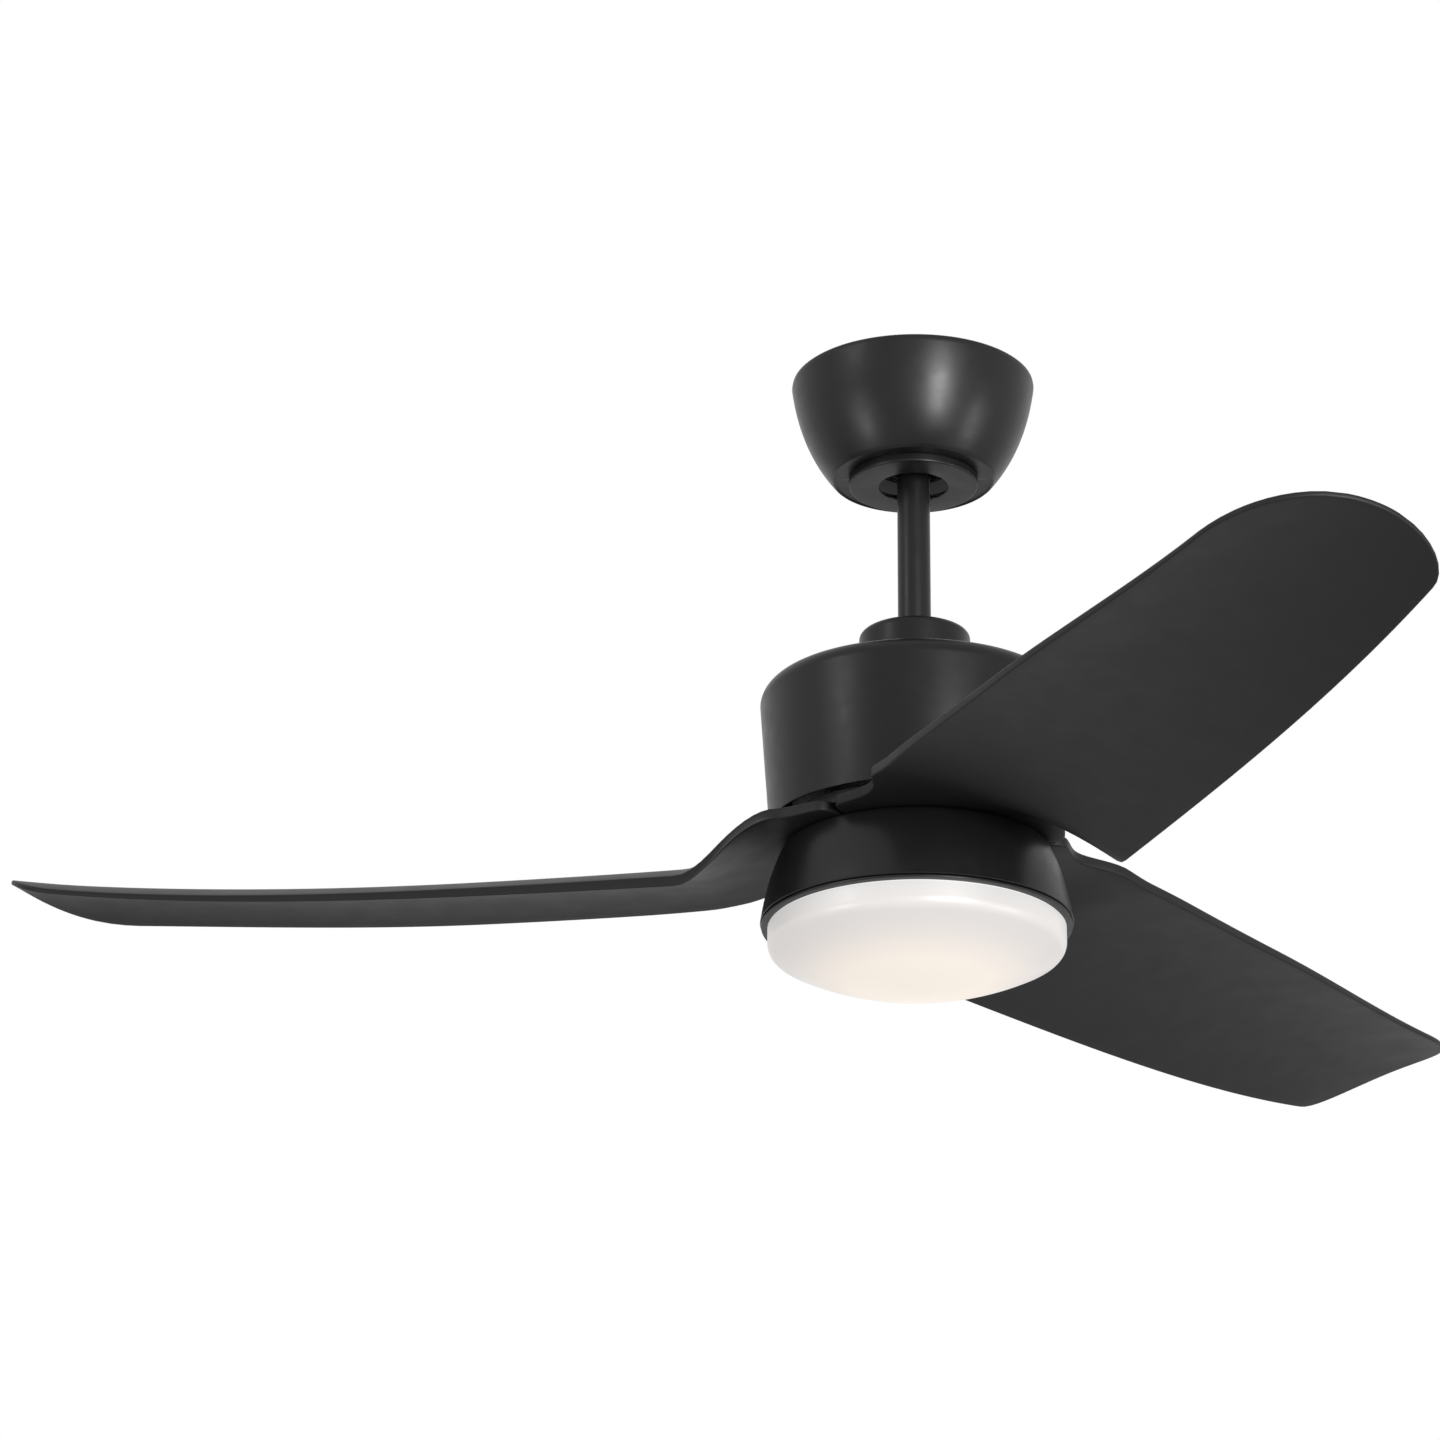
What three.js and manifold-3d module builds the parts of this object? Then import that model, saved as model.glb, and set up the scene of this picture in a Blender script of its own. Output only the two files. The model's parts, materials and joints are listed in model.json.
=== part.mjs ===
// Three-blade ceiling fan with a light, built as the separate pieces that it is assembled from.
// Millimetres, +Z up. The origin is on the ceiling, at the middle of the mounting bracket's
// top face, and the fan hangs below it.
import * as THREE from 'three';
import { mergeVertices } from 'three/addons/utils/BufferGeometryUtils.js';
import Module from 'manifold-3d';

const wasm = await Module();
wasm.setup();

// ---------------------------------------------------------------- driving dimensions

const gap = 0.3;                    // clearance left between pieces that touch
const sweep = 1320.8;               // diameter of the blades' tip circle (52 in)
const restTurn = -5.8;              // degrees, turn of the blade set at rest

const canopyRadius = 89.4;           // widest, just under the ceiling
const canopyRimInset = 1.4;         // how far the rim at the ceiling is rolled in
const canopyShoulder = 3;           // depth of the rounded shoulder
const canopyDepth = 77;
const canopyFloorRadius = 59;       // where the bowl meets its flat floor
const canopyBelly = 6;              // pull of the bowl's side, in from its widest
const canopyBellyDepth = 48;        // and the depth it is pulled at
const canopyWall = 1.6;
const canopyLip = 1.5;              // how far the bowl's edge stands below the floor
const trimRingRadius = 47.2;
const trimRingBand = 21.7;          // from its outer edge in to its hole
const trimRingDepth = 6.2;
const trimRingWall = 1.6;
const trimRingBevel = 1.2;
const trimRingEdge = 0.6;           // bevel of the outer edge

const bracketPlate = 2.5;           // sheet thickness
const bracketWidth = 44;
const bracketMargin = 13;           // from the cup out to the legs
const bracketRise = 12.5;           // from the canopy's floor up to the bracket's underside
const bossRadius = 6;
const wireHoleRadius = 9;
const wireHoleOffset = 13;
const outletSpacing = 79.4;         // between the middles of the two mounting slots
const slotLength = 14;              // so that screws 65 to 93 mm apart fit
const slotWidth = 5.2;
const receiverLength = 60;
const receiverWidth = 40;
const receiverHeight = 17;
const ballRadius = 28;
const ballCentre = 46;              // depth of the ball's centre below the ceiling
const ballTop = 16;                 // flat top above the centre
const ballBottom = 20;              // flat underside below the centre
const seatWall = 3.2;
const seatTop = 8;                  // upper edge of the seat, below the ball's centre
const seatClearance = 0.5;
const cupOverlap = 2;               // the bracket's cup starts and ends this much lower

const setScrewLength = 12;
const yokeScrewLength = 10;
const rodRadius = 12;
const rodWall = 2.2;
const rodLength = 209.8;
const rodTop = 14;                  // rod end above the ball's centre
const rodEndGap = 2;                // from the rod's lower end to the motor's top
const pinRadius = 3;
const pinOverhang = 8;              // how far each pin stands out on each side
const rodPinHeight = 8;             // above the ball's centre

const yokeWall = 5.8;
const yokeFlange = 6;               // thickness of its flange
const yokePinHeight = 26;           // clevis pin above the motor housing
const yokeScrewRise = 8;            // set screws above and below the clevis pin
const yokeSpigot = 12;
const coverRadius = 40.3;           // cover over the rod's coupling
const coverHeight = 44.2;
const coverWall = 1.6;
const coverEdge = 5;                // radius of its rounded upper edge
const coverClearance = 4.7;         // around the yoke's flange
const coverRodGap = 2;              // around the rod

const motorRadius = 111.8;          // widest, under the rounded shoulder
const motorTaper = 6.8;             // narrower by this much at the bottom
const motorHeight = 105.5;
const motorShoulder = 13;
const motorWall = 1.6;
const housingBossRadius = 5.5;
const housingBossDepth = 9;
const housingScrewLength = 14;

const shaftRadius = 10;
const shaftBore = 6.5;
const rotorClearance = 16;          // between the rotor and the housing's lower edge
const rotorWall = 3;
const rotorTop = 24;                // below the motor housing's top
const rotorHeight = 64.5;
const shaftClearance = 3;           // between the turning pieces and the shaft
const magnetWall = 4.5;
const magnetHeight = 28;
const airGap = 1;
const statorHeight = 22;
const statorTeeth = 12;
const toothWidth = 10;
const toothTip = 4;
const toothSlot = 2;                // degrees, half of the slot between two tooth faces
const windingWidth = 14;
const windingHeight = 10;
const windingRound = 2;
const bearingRadius = 17.5;
const bearingHeight = 9;
const bearingRace = 2.6;
const bearingSeat = 3;              // wall around each bearing
const bearingShelf = 2.5;           // metal left under each bearing

const hubClearance = 10;            // between the blade hub and the housing's lower edge
const hubPlate = 8;
const hubBossRadius = 60;
const hubBore = 24;
const motorToBlade = 7.7;           // from the motor housing's lower edge to the blades

const bladeHub = 8;                 // blade thickness over the hub
const bladeTip = 4;                 // and at the tip
const bladeThinStart = 150;         // where it starts to thin
const bladeThinLength = 450;
const bladeInner = 34;              // inner end of the root, from the axis
const bladeHalfWidth = 89.2;        // where neighbouring blades meet
const bladeLeadHalf = 97;         // widest half width on the leading side
const bladeLeadGrow = 160;          // length over which it widens to that
const leadTaperStart = 333;         // where the leading side starts to narrow
const bladeLeadTip = 81.8;          // half widths where the round tip starts
const bladeTrailTip = 60.2;
const bladeSeam = 3;                // slot between neighbouring roots
const bladeWaist = 12.7;            // how far the edges pull in beyond the slot
const waistLength = 82;
const tipLength = 40.6;             // length of the rounded tip on the trailing side
const tipSquareness = 2;            // 2 makes its outline an ellipse, more squares it off
const leadTipLength = 75;           // and the same two on the leading side
const leadTipSquareness = 2.2;
const rootRound = 16;               // length over which the root's corners are rounded
const trailDrop = 50.9;             // trailing edge below the root's underside
const trailRecover = 27.3;          // how much of it the tip wins back
const trailRecoverPower = 3.7;      // and how late
const leadDrop = 4.5;               // leading edge below the root's underside
const leadSag = 7;                  // and how much lower it runs halfway out
const camber = 13;                  // upward bow across the blade
const bendStart = 94;             // where the blade starts to bend down from its root
const bendLength = 68;
const bladeScrewMargin = 13;        // from the screws' heads out to the rim around the light's recess

const lightGap = 2.5;               // under the blades' roots
const lightRadius = 111.3;
const lightTopInset = 15.8;         // narrower by this much at the top
const lightBelly = 4.5;             // pull of the side, in from the widest
const lightBellyDepth = 23;
const lightHeight = 54.5;
const lightWall = 1.6;
const lightRecess = 6;              // of its top, clear of the blade screws
const lightLedge = 6.5;             // width of the rim around that recess
const fitterRadius = 44;
const fitterPlate = 2.4;
const fitterScrewInset = 8;
const nutRadius = 15;
const nutHeight = 6;
const bezelInset = 0.8;             // inside the housing's lower edge
const bezelHeight = 1.6;
const bezelSeam = 0.9;
const bezelCollar = 10;
const bezelEdge = 0.5;              // bevel of its lower edge
const collarClearance = 1.1;        // between the bezel and the lens's lugs
const lensInset = 4.5;              // inside the bezel's outer edge
const lensWallHeight = 11.6;
const lensEdge = 9;                 // radius of the lens's rounded edge
const lensDomeRadius = 218;
const lensWall = 2.6;
const lensShoulder = 5.5;           // from the lens's side in to its neck
const lensBevel = 0.8;
const neckHeight = 8.6;
const lugReach = 2.6;
const lugHeight = 2;
const lugAngle = 20;                // degrees covered by each lug
const tabAngle = 44;                // degrees covered by each ledge under a lug
const tabHeight = 2;
const driverLength = 96;
const driverWidth = 44;
const driverHeight = 22;
const driverOffset = 38;            // of its middle from the axis
const driverDrop = 18;              // of its middle below the nut's top
const trayInset = 9;                // inside the housing's widest radius
const trayPlate = 2;
const trayDepth = 41;               // below the light housing's top
const wireHole = 6;                 // in the middle of the tray and the board
const boardInset = 9;
const boardPlate = 1.6;
const chipSize = 4;
const chipHeight = 1;
const outerChips = 16;
const outerChipInset = 17;          // of their circle from the board's edge
const innerChips = 8;
const innerChipRadius = 42;

const screwShank = 2;
const screwHead = 4;
const screwHeadHeight = 2.4;

const largeFacets = 32;             // sides of the big round shells
const middleFacets = 24;            // of the motor's and the coupling's parts
const smallFacets = 16;             // of shafts, bearings and holes
const screwFacets = 8;              // of screws and their holes

// ---------------------------------------------------------------- sizes that follow from them

const screwHole = screwShank + gap;
const trimRingHole = trimRingRadius - trimRingBand;
const trimRingInside = trimRingRadius - trimRingWall;
const canopyHole = trimRingHole + 0.38 * trimRingBand;
const canopyScrewX = (trimRingInside + canopyHole) / 2;
const seatInner = ballRadius + seatClearance;
const seatOuter = seatInner + seatWall;
const cupInner = seatOuter + seatClearance;
const cupOuter = cupInner + bracketPlate;
const bracketSpan = 2 * (cupOuter + bracketMargin + bracketPlate / 2);
const yokeRadius = rodRadius + gap + yokeWall;
const yokeFlangeRadius = coverRadius - coverWall - coverClearance;
const yokeHeight = coverHeight - coverWall - rodEndGap;
const housingScrewRadius = (yokeRadius + yokeFlangeRadius) / 2;
const motorBottomRadius = motorRadius - motorTaper;
const rotorRadius = motorBottomRadius - rotorClearance;
const rotorBottom = rotorTop + rotorHeight;
const magnetOuter = rotorRadius - rotorWall - gap;
const statorOuter = magnetOuter - magnetWall - airGap;
const hubRadius = motorBottomRadius - hubClearance;
const tipRadius = sweep / 2;
const lightTopRadius = lightRadius - lightTopInset;
const lightLedgeRadius = lightTopRadius - lightLedge;
const bladeScrewReach = lightLedgeRadius - bladeScrewMargin - screwHead;
const bladeScrews = [[1, 0], [0.75, 0.5], [0.75, -0.5]].map((at) =>
  at.map((share) => share * bladeScrewReach));        // along and across the blade
const fitterScrewRadius = fitterRadius - fitterScrewInset;
const bezelRadius = lightRadius - bezelInset;
const lensRadius = bezelRadius - lensInset;
const neckRadius = lensRadius - lensShoulder;
const trayRadius = lightRadius - trayInset;
const boardRadius = trayRadius - boardInset;

const canopyFloorZ = -canopyDepth + canopyLip;
const bracketFloorZ = canopyFloorZ + bracketRise - 1;
const ballZ = -ballCentre;
const rodTopZ = ballZ + rodTop;
const rodBottomZ = rodTopZ - rodLength;
const motorTopZ = rodBottomZ - rodEndGap;
const motorMiddleZ = motorTopZ - (rotorTop + rotorBottom) / 2;
const bearingUpperZ = motorTopZ - rotorTop - bearingShelf - gap;
const bearingLowerZ = motorTopZ - rotorBottom + bearingShelf + gap + bearingHeight;
const yokePinZ = motorTopZ + yokePinHeight;
const motorBottomZ = motorTopZ - motorHeight;
const bladeTopZ = motorBottomZ - motorToBlade;
const bladeBottomZ = bladeTopZ - bladeHub;
const lightTopZ = bladeBottomZ - lightGap;
const lightShelfZ = lightTopZ - lightRecess;
const lightCeilingZ = lightShelfZ - lightWall;
const lightBottomZ = lightTopZ - lightHeight;
const fitterTopZ = lightShelfZ + fitterPlate + gap;
const nutTopZ = lightCeilingZ - gap;
const trayTopZ = lightTopZ - trayDepth;
const boardTopZ = trayTopZ - trayPlate - gap;
const bezelTopZ = lightBottomZ - bezelSeam;
const bezelBottomZ = bezelTopZ - bezelHeight;
const lensTopZ = bezelBottomZ - gap;

// ---------------------------------------------------------------- making solids

function bareGeometry(source) {
  const bare = source.clone();
  bare.deleteAttribute('normal');
  bare.deleteAttribute('uv');
  return mergeVertices(bare, 1e-4);
}

function signedVolume(positions, index) {
  const a = new THREE.Vector3();
  const b = new THREE.Vector3();
  const c = new THREE.Vector3();
  let total = 0;
  for (let i = 0; i < index.length; i += 3) {
    a.fromArray(positions, index[i] * 3);
    b.fromArray(positions, index[i + 1] * 3);
    c.fromArray(positions, index[i + 2] * 3);
    total += a.dot(b.cross(c)) / 6;
  }
  return total;
}

// A closed three.js geometry as a solid, with its faces pointing out.
function solid(geometry) {
  const bare = bareGeometry(geometry);
  const positions = bare.attributes.position.array;
  const source = bare.index.array;
  const index = [];
  for (let i = 0; i < source.length; i += 3) {
    const [a, b, c] = [source[i], source[i + 1], source[i + 2]];
    if (a !== b && b !== c && c !== a) index.push(a, b, c);
  }
  if (signedVolume(positions, index) < 0) index.reverse();
  const mesh = new wasm.Mesh({
    numProp: 3,
    vertProperties: new Float32Array(positions),
    triVerts: new Uint32Array(index),
  });
  return new wasm.Manifold(mesh);
}

function geometryOf(body) {
  const mesh = body.getMesh();
  const geometry = new THREE.BufferGeometry();
  geometry.setAttribute('position', new THREE.BufferAttribute(new Float32Array(mesh.vertProperties), 3));
  geometry.setIndex(new THREE.BufferAttribute(new Uint32Array(mesh.triVerts), 1));
  return geometry;
}

// A profile of [radius, z] points turned about the Z axis. It starts and ends on the axis,
// or it is a closed loop.
function turned(profile, segments = middleFacets) {
  const onAxis = profile[0][0] === 0 && profile[profile.length - 1][0] === 0;
  const loop = onAxis ? profile : [...profile, profile[0]];
  const points = loop.map(([radius, z]) => new THREE.Vector2(radius, z));
  return solid(new THREE.LatheGeometry(points, segments).rotateX(Math.PI / 2));
}

function tubeRing(outer, inner, bottom, top, segments = middleFacets) {
  return turned([[inner, bottom], [outer, bottom], [outer, top], [inner, top]], segments);
}

function rod(radius, bottom, top, segments = smallFacets) {
  return turned([[0, bottom], [radius, bottom], [radius, top], [0, top]], segments);
}

// A short drill through a plate at the given height.
function through(radius, z, segments = screwFacets) {
  const reach = 15;
  return rod(radius, z - reach, z + reach, segments);
}

// A cylinder along X or Y, through the given height.
function crossRod(radius, length, z, axis, centre = 0) {
  const geometry = new THREE.CylinderGeometry(radius, radius, length, 12);
  if (axis === 'x') geometry.rotateZ(Math.PI / 2).translate(centre, 0, z);
  else geometry.translate(0, centre, z);
  return solid(geometry);
}

function block(width, depth, height, x, y, z) {
  return solid(new THREE.BoxGeometry(width, depth, height).translate(x, y, z));
}

function moved(body, x, y, z = 0) {
  return body.translate([x, y, z]);
}

function polar(radius, degrees) {
  const angle = THREE.MathUtils.degToRad(degrees);
  return [radius * Math.cos(angle), radius * Math.sin(angle)];
}

// Points on an arc, from one angle to another in degrees.
function arc(cx, cz, radius, from, to, steps) {
  const points = [];
  for (let i = 0; i <= steps; i += 1) {
    const angle = THREE.MathUtils.degToRad(from + ((to - from) * i) / steps);
    points.push([cx + radius * Math.cos(angle), cz + radius * Math.sin(angle)]);
  }
  return points;
}

function bezier(from, control, to, steps) {
  const curve = new THREE.QuadraticBezierCurve(
    new THREE.Vector2(...from), new THREE.Vector2(...control), new THREE.Vector2(...to));
  return curve.getPoints(steps).map((p) => [p.x, p.y]);
}

// A slice of a ring, centred on an angle.
function ringSlice(outer, inner, bottom, top, centre, spread) {
  const half = THREE.MathUtils.degToRad(spread / 2);
  const shape = new THREE.Shape();
  shape.absarc(0, 0, outer, -half, half, false);
  shape.absarc(0, 0, inner, half, -half, true);
  shape.closePath();
  const geometry = new THREE.ExtrudeGeometry(shape, {
    depth: top - bottom, bevelEnabled: false, curveSegments: 3,
  });
  geometry.translate(0, 0, bottom).rotateZ(THREE.MathUtils.degToRad(centre));
  return solid(geometry);
}

// A pan-head screw pointing up, its head's underside at z = 0 and its shank above.
function screw(length) {
  return turned([
    [0, -screwHeadHeight], [screwHead * 0.8, -screwHeadHeight], [screwHead, 0],
    [screwShank, 0], [screwShank, length], [0, length],
  ], screwFacets);
}

// ---------------------------------------------------------------- finishes and the scene graph

const finishes = {
  blackMetal: { color: 0x2b2b2c, roughness: 0.42, metalness: 0.55 },
  blackPlastic: { color: 0x2e2e2f, roughness: 0.6, metalness: 0 },
  darkSteel: { color: 0x1a1a1b, roughness: 0.5, metalness: 0.8 },
  zinc: { color: 0x9a9c9e, roughness: 0.4, metalness: 0.9 },
  steel: { color: 0x8f9194, roughness: 0.3, metalness: 1 },
  laminations: { color: 0x5b5d60, roughness: 0.5, metalness: 0.9 },
  copper: { color: 0xa65b2b, roughness: 0.4, metalness: 0.9 },
  ferrite: { color: 0x303033, roughness: 0.8, metalness: 0 },
  aluminium: { color: 0xb9bbbd, roughness: 0.4, metalness: 0.9 },
  board: { color: 0xe9e9e4, roughness: 0.5, metalness: 0 },
  whitePlastic: { color: 0xdcdcd8, roughness: 0.5, metalness: 0 },
  opal: { color: 0xf4ede4, roughness: 0.35, metalness: 0 },
  nylon: { color: 0x222223, roughness: 0.7, metalness: 0 },
  castAluminium: { color: 0x8a8c8e, roughness: 0.5, metalness: 0.9 },
};

const fan = new THREE.Group();
const hanging = new THREE.Group();     // what tilts with the hanger ball
const turning = new THREE.Group();     // what the motor turns
fan.add(hanging);
hanging.add(turning);
turning.rotation.z = THREE.MathUtils.degToRad(restTurn);

function add(parent, name, body, finish) {
  const mesh = new THREE.Mesh(geometryOf(body), new THREE.MeshStandardMaterial(finishes[finish]));
  mesh.name = name;
  parent.add(mesh);
  return mesh;
}

// ---------------------------------------------------------------- ceiling side

// A zone of a spherical shell about the ball's centre, between two depths below it.
function sphereZone(outer, inner, upper, lower) {
  const angle = (radius, depth) => THREE.MathUtils.radToDeg(Math.asin(-depth / radius));
  return turned([
    ...arc(0, ballZ, outer, angle(outer, lower), angle(outer, upper), 3),
    ...arc(0, ballZ, inner, angle(inner, upper), angle(inner, lower), 3),
  ]);
}

function mountingBracket() {
  const leg = (bracketSpan - bracketPlate) / 2;
  const height = -bracketFloorZ;
  const cupHole = Math.sqrt(cupOuter ** 2 - (ballZ - bracketFloorZ) ** 2) - bracketPlate / 2;
  let body = block(bracketSpan, bracketWidth, bracketPlate, 0, 0, -bracketPlate / 2)
    .add(block(bracketSpan, bracketWidth, bracketPlate, 0, 0, bracketFloorZ + bracketPlate / 2))
    .add(block(bracketPlate, bracketWidth, height, leg, 0, -height / 2))
    .add(block(bracketPlate, bracketWidth, height, -leg, 0, -height / 2))
    .subtract(rod(cupHole, bracketFloorZ - 1, bracketFloorZ + bracketPlate + 1, middleFacets))
    .add(sphereZone(cupOuter, cupInner, seatTop + cupOverlap, ballBottom + cupOverlap));
  for (const side of [-1, 1]) {
    const boss = rod(bossRadius, canopyFloorZ + canopyWall + gap, bracketFloorZ + 1, 12);
    const bore = rod(screwHole, -canopyDepth, bracketFloorZ + bracketPlate + 1, screwFacets);
    const slot = block(slotLength, slotWidth, bracketPlate * 3, (side * outletSpacing) / 2, 0, 0);
    body = body.add(moved(boss, side * canopyScrewX, 0))
      .subtract(moved(bore, side * canopyScrewX, 0))
      .subtract(slot);
  }
  return body.subtract(moved(through(wireHoleRadius, 0, middleFacets), 0, wireHoleOffset));
}

function canopy() {
  const bowl = (inset) => bezier(
    [canopyRadius - inset, -canopyShoulder],
    [canopyRadius - canopyBelly - inset, -canopyBellyDepth],
    [canopyFloorRadius - inset, -canopyDepth], 6);
  const rimRadius = canopyRadius - canopyRimInset;
  const inner = bowl(canopyWall).reverse();
  inner[0] = [canopyFloorRadius - canopyLip - canopyWall, canopyFloorZ + canopyWall];
  const body = turned([
    [rimRadius, 0], ...bowl(0),
    [canopyFloorRadius - canopyLip, canopyFloorZ], [canopyHole, canopyFloorZ],
    [canopyHole, canopyFloorZ + canopyWall], ...inner,
    [rimRadius - canopyWall, 0],
  ], largeFacets);
  const bore = through(screwHole, canopyFloorZ);
  return body.subtract(moved(bore, canopyScrewX, 0)).subtract(moved(bore, -canopyScrewX, 0));
}

function trimRing() {
  const top = canopyFloorZ - gap;
  const bottom = top - trimRingDepth;
  const floor = bottom + trimRingWall;
  return turned([
    [trimRingHole, bottom + trimRingBevel], [trimRingHole + trimRingBevel, bottom],
    [trimRingRadius - trimRingEdge, bottom], [trimRingRadius, bottom + trimRingEdge],
    [trimRingRadius, top], [trimRingInside, top], [trimRingInside, floor],
    [trimRingHole, floor + trimRingEdge],
  ], largeFacets);
}

function hangerBall() {
  const angle = (depth) => THREE.MathUtils.radToDeg(Math.asin(depth / ballRadius));
  const outline = arc(0, ballZ, ballRadius, angle(-ballBottom), angle(ballTop), 6);
  const bore = rodRadius + gap;
  return turned([[bore, ballZ - ballBottom], ...outline, [bore, ballZ + ballTop]])
    .subtract(crossRod(pinRadius + gap, ballRadius * 2, ballZ + rodPinHeight, 'x'))
    .subtract(crossRod(screwHole, ballRadius, ballZ, 'y', ballRadius / 2));
}

function downrod() {
  return tubeRing(rodRadius, rodRadius - rodWall, rodBottomZ, rodTopZ, smallFacets)
    .subtract(crossRod(pinRadius + gap, rodRadius * 4, ballZ + rodPinHeight, 'x'))
    .subtract(crossRod(pinRadius + gap, rodRadius * 4, yokePinZ, 'x'));
}

add(fan, 'mounting_bracket', mountingBracket(), 'zinc');
add(fan, 'canopy', canopy(), 'blackMetal');
add(fan, 'canopy_trim_ring', trimRing(), 'blackMetal');
for (const [name, side] of [['canopy_screw_1', 1], ['canopy_screw_2', -1]]) {
  const piece = add(fan, name, screw(bracketRise), 'zinc');
  piece.position.set(side * canopyScrewX, 0, canopyFloorZ - gap);
}
add(fan, 'remote_receiver', block(receiverLength, receiverWidth, receiverHeight,
  0, 0, -bracketPlate - gap - receiverHeight / 2), 'blackPlastic');

add(hanging, 'ball_seat_ring', sphereZone(seatOuter, seatInner, seatTop, ballBottom), 'nylon');
add(hanging, 'hanger_ball', hangerBall(), 'blackPlastic');
add(hanging, 'hanger_pin',
  crossRod(pinRadius, 2 * (rodRadius + pinOverhang), ballZ + rodPinHeight, 'x'), 'steel');
add(hanging, 'ball_set_screw',
  crossRod(screwShank, setScrewLength, ballZ, 'y', rodRadius + gap + setScrewLength / 2), 'zinc');
add(hanging, 'downrod', downrod(), 'blackMetal');

// ---------------------------------------------------------------- coupling and motor

function yoke() {
  const bore = rodRadius + gap;
  const spigot = yokeRadius - 2;
  const flangeZ = motorTopZ + gap;
  let body = turned([
    [shaftRadius + gap, flangeZ - yokeSpigot], [spigot, flangeZ - yokeSpigot],
    [spigot, flangeZ], [yokeFlangeRadius, flangeZ],
    [yokeFlangeRadius, flangeZ + yokeFlange], [yokeRadius, flangeZ + yokeFlange],
    [yokeRadius, motorTopZ + yokeHeight], [bore, motorTopZ + yokeHeight],
    [bore, rodBottomZ - gap], [shaftRadius + gap, rodBottomZ - gap],
  ], smallFacets).subtract(crossRod(pinRadius + gap, yokeRadius * 3, yokePinZ, 'x'));
  for (const side of [-1, 1]) {
    const height = yokePinZ + side * yokeScrewRise;
    body = body.subtract(crossRod(screwHole, yokeRadius, height, 'y', side * yokeRadius));
  }
  for (let i = 0; i < 3; i += 1) {
    const hole = through(screwHole, flangeZ + yokeFlange / 2);
    body = body.subtract(moved(hole, ...housingScrewPlace(i)));
  }
  return body;
}

function housingScrewPlace(i) {
  return polar(housingScrewRadius, 90 + 120 * i);
}

function couplingCover() {
  const bottom = motorTopZ + gap;
  const top = bottom + coverHeight;
  const hole = rodRadius + coverRodGap;
  const edge = [coverRadius - coverEdge, top - coverEdge];
  return turned([
    [hole, top], ...arc(...edge, coverEdge, 90, 0, 3),
    [coverRadius, bottom], [coverRadius - coverWall, bottom],
    ...arc(...edge, coverEdge - coverWall, 0, 90, 3), [hole, top - coverWall],
  ]);
}

function motorHousing() {
  const hole = yokeRadius - 2 + gap;
  const shoulderCentre = [motorRadius - motorShoulder, motorTopZ - motorShoulder];
  const inner = motorShoulder - motorWall;
  let body = turned([
    [hole, motorTopZ], ...arc(...shoulderCentre, motorShoulder, 90, 0, 3),
    [motorBottomRadius, motorBottomZ], [motorBottomRadius - motorWall, motorBottomZ],
    ...arc(...shoulderCentre, inner, 0, 90, 3), [hole, motorTopZ - motorWall],
  ], largeFacets);
  for (let i = 0; i < 3; i += 1) {
    const boss = rod(housingBossRadius, motorTopZ - housingBossDepth, motorTopZ - motorWall / 2, 10);
    const bore = through(screwHole, motorTopZ - housingBossDepth / 2);
    const place = housingScrewPlace(i);
    body = body.add(moved(boss, ...place)).subtract(moved(bore, ...place));
  }
  return body;
}

// The fixed core: one stamped outline, a ring with T-shaped teeth that reach out to the magnets.
function statorCore() {
  const neckEnd = statorOuter - toothTip;
  const root = neckEnd - windingWidth;
  const outline = [];
  for (let i = 0; i < statorTeeth; i += 1) {
    const turn = (360 / statorTeeth) * i;
    const half = THREE.MathUtils.radToDeg(toothWidth / 2 / root);
    const neck = THREE.MathUtils.radToDeg(toothWidth / 2 / neckEnd);
    const face = 180 / statorTeeth - toothSlot;
    outline.push(
      polar(root, turn - half), polar(neckEnd, turn - neck), polar(neckEnd, turn - face),
      polar(statorOuter, turn - face), polar(statorOuter, turn), polar(statorOuter, turn + face),
      polar(neckEnd, turn + face), polar(neckEnd, turn + neck), polar(root, turn + half));
  }
  const shape = new THREE.Shape(outline.map(([x, y]) => new THREE.Vector2(x, y)));
  const core = new THREE.ExtrudeGeometry(shape, { depth: statorHeight, bevelEnabled: false });
  return solid(core.translate(0, 0, motorMiddleZ - statorHeight / 2))
    .subtract(through(shaftRadius + gap, motorMiddleZ, smallFacets));
}

// The rounded end turns of the coils, above or below the core.
function windingCrown(side) {
  const outer = statorOuter - toothTip - 1;
  const inner = outer - windingWidth;
  const base = motorMiddleZ + side * (statorHeight / 2 + gap);
  const end = base + side * windingHeight;
  const low = Math.min(base, end);
  const high = Math.max(base, end);
  return turned([
    [inner + windingRound, low], [outer - windingRound, low],
    [outer, low + windingRound], [outer, high - windingRound],
    [outer - windingRound, high], [inner + windingRound, high],
    [inner, high - windingRound], [inner, low + windingRound],
  ], smallFacets);
}

function bearingInner(top) {
  const inner = shaftRadius + gap;
  return tubeRing(inner + bearingRace, inner, top - bearingHeight, top, smallFacets);
}

function bearingOuter(top) {
  const inner = bearingRadius - bearingRace;
  return tubeRing(bearingRadius, inner, top - bearingHeight, top, smallFacets);
}

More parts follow.
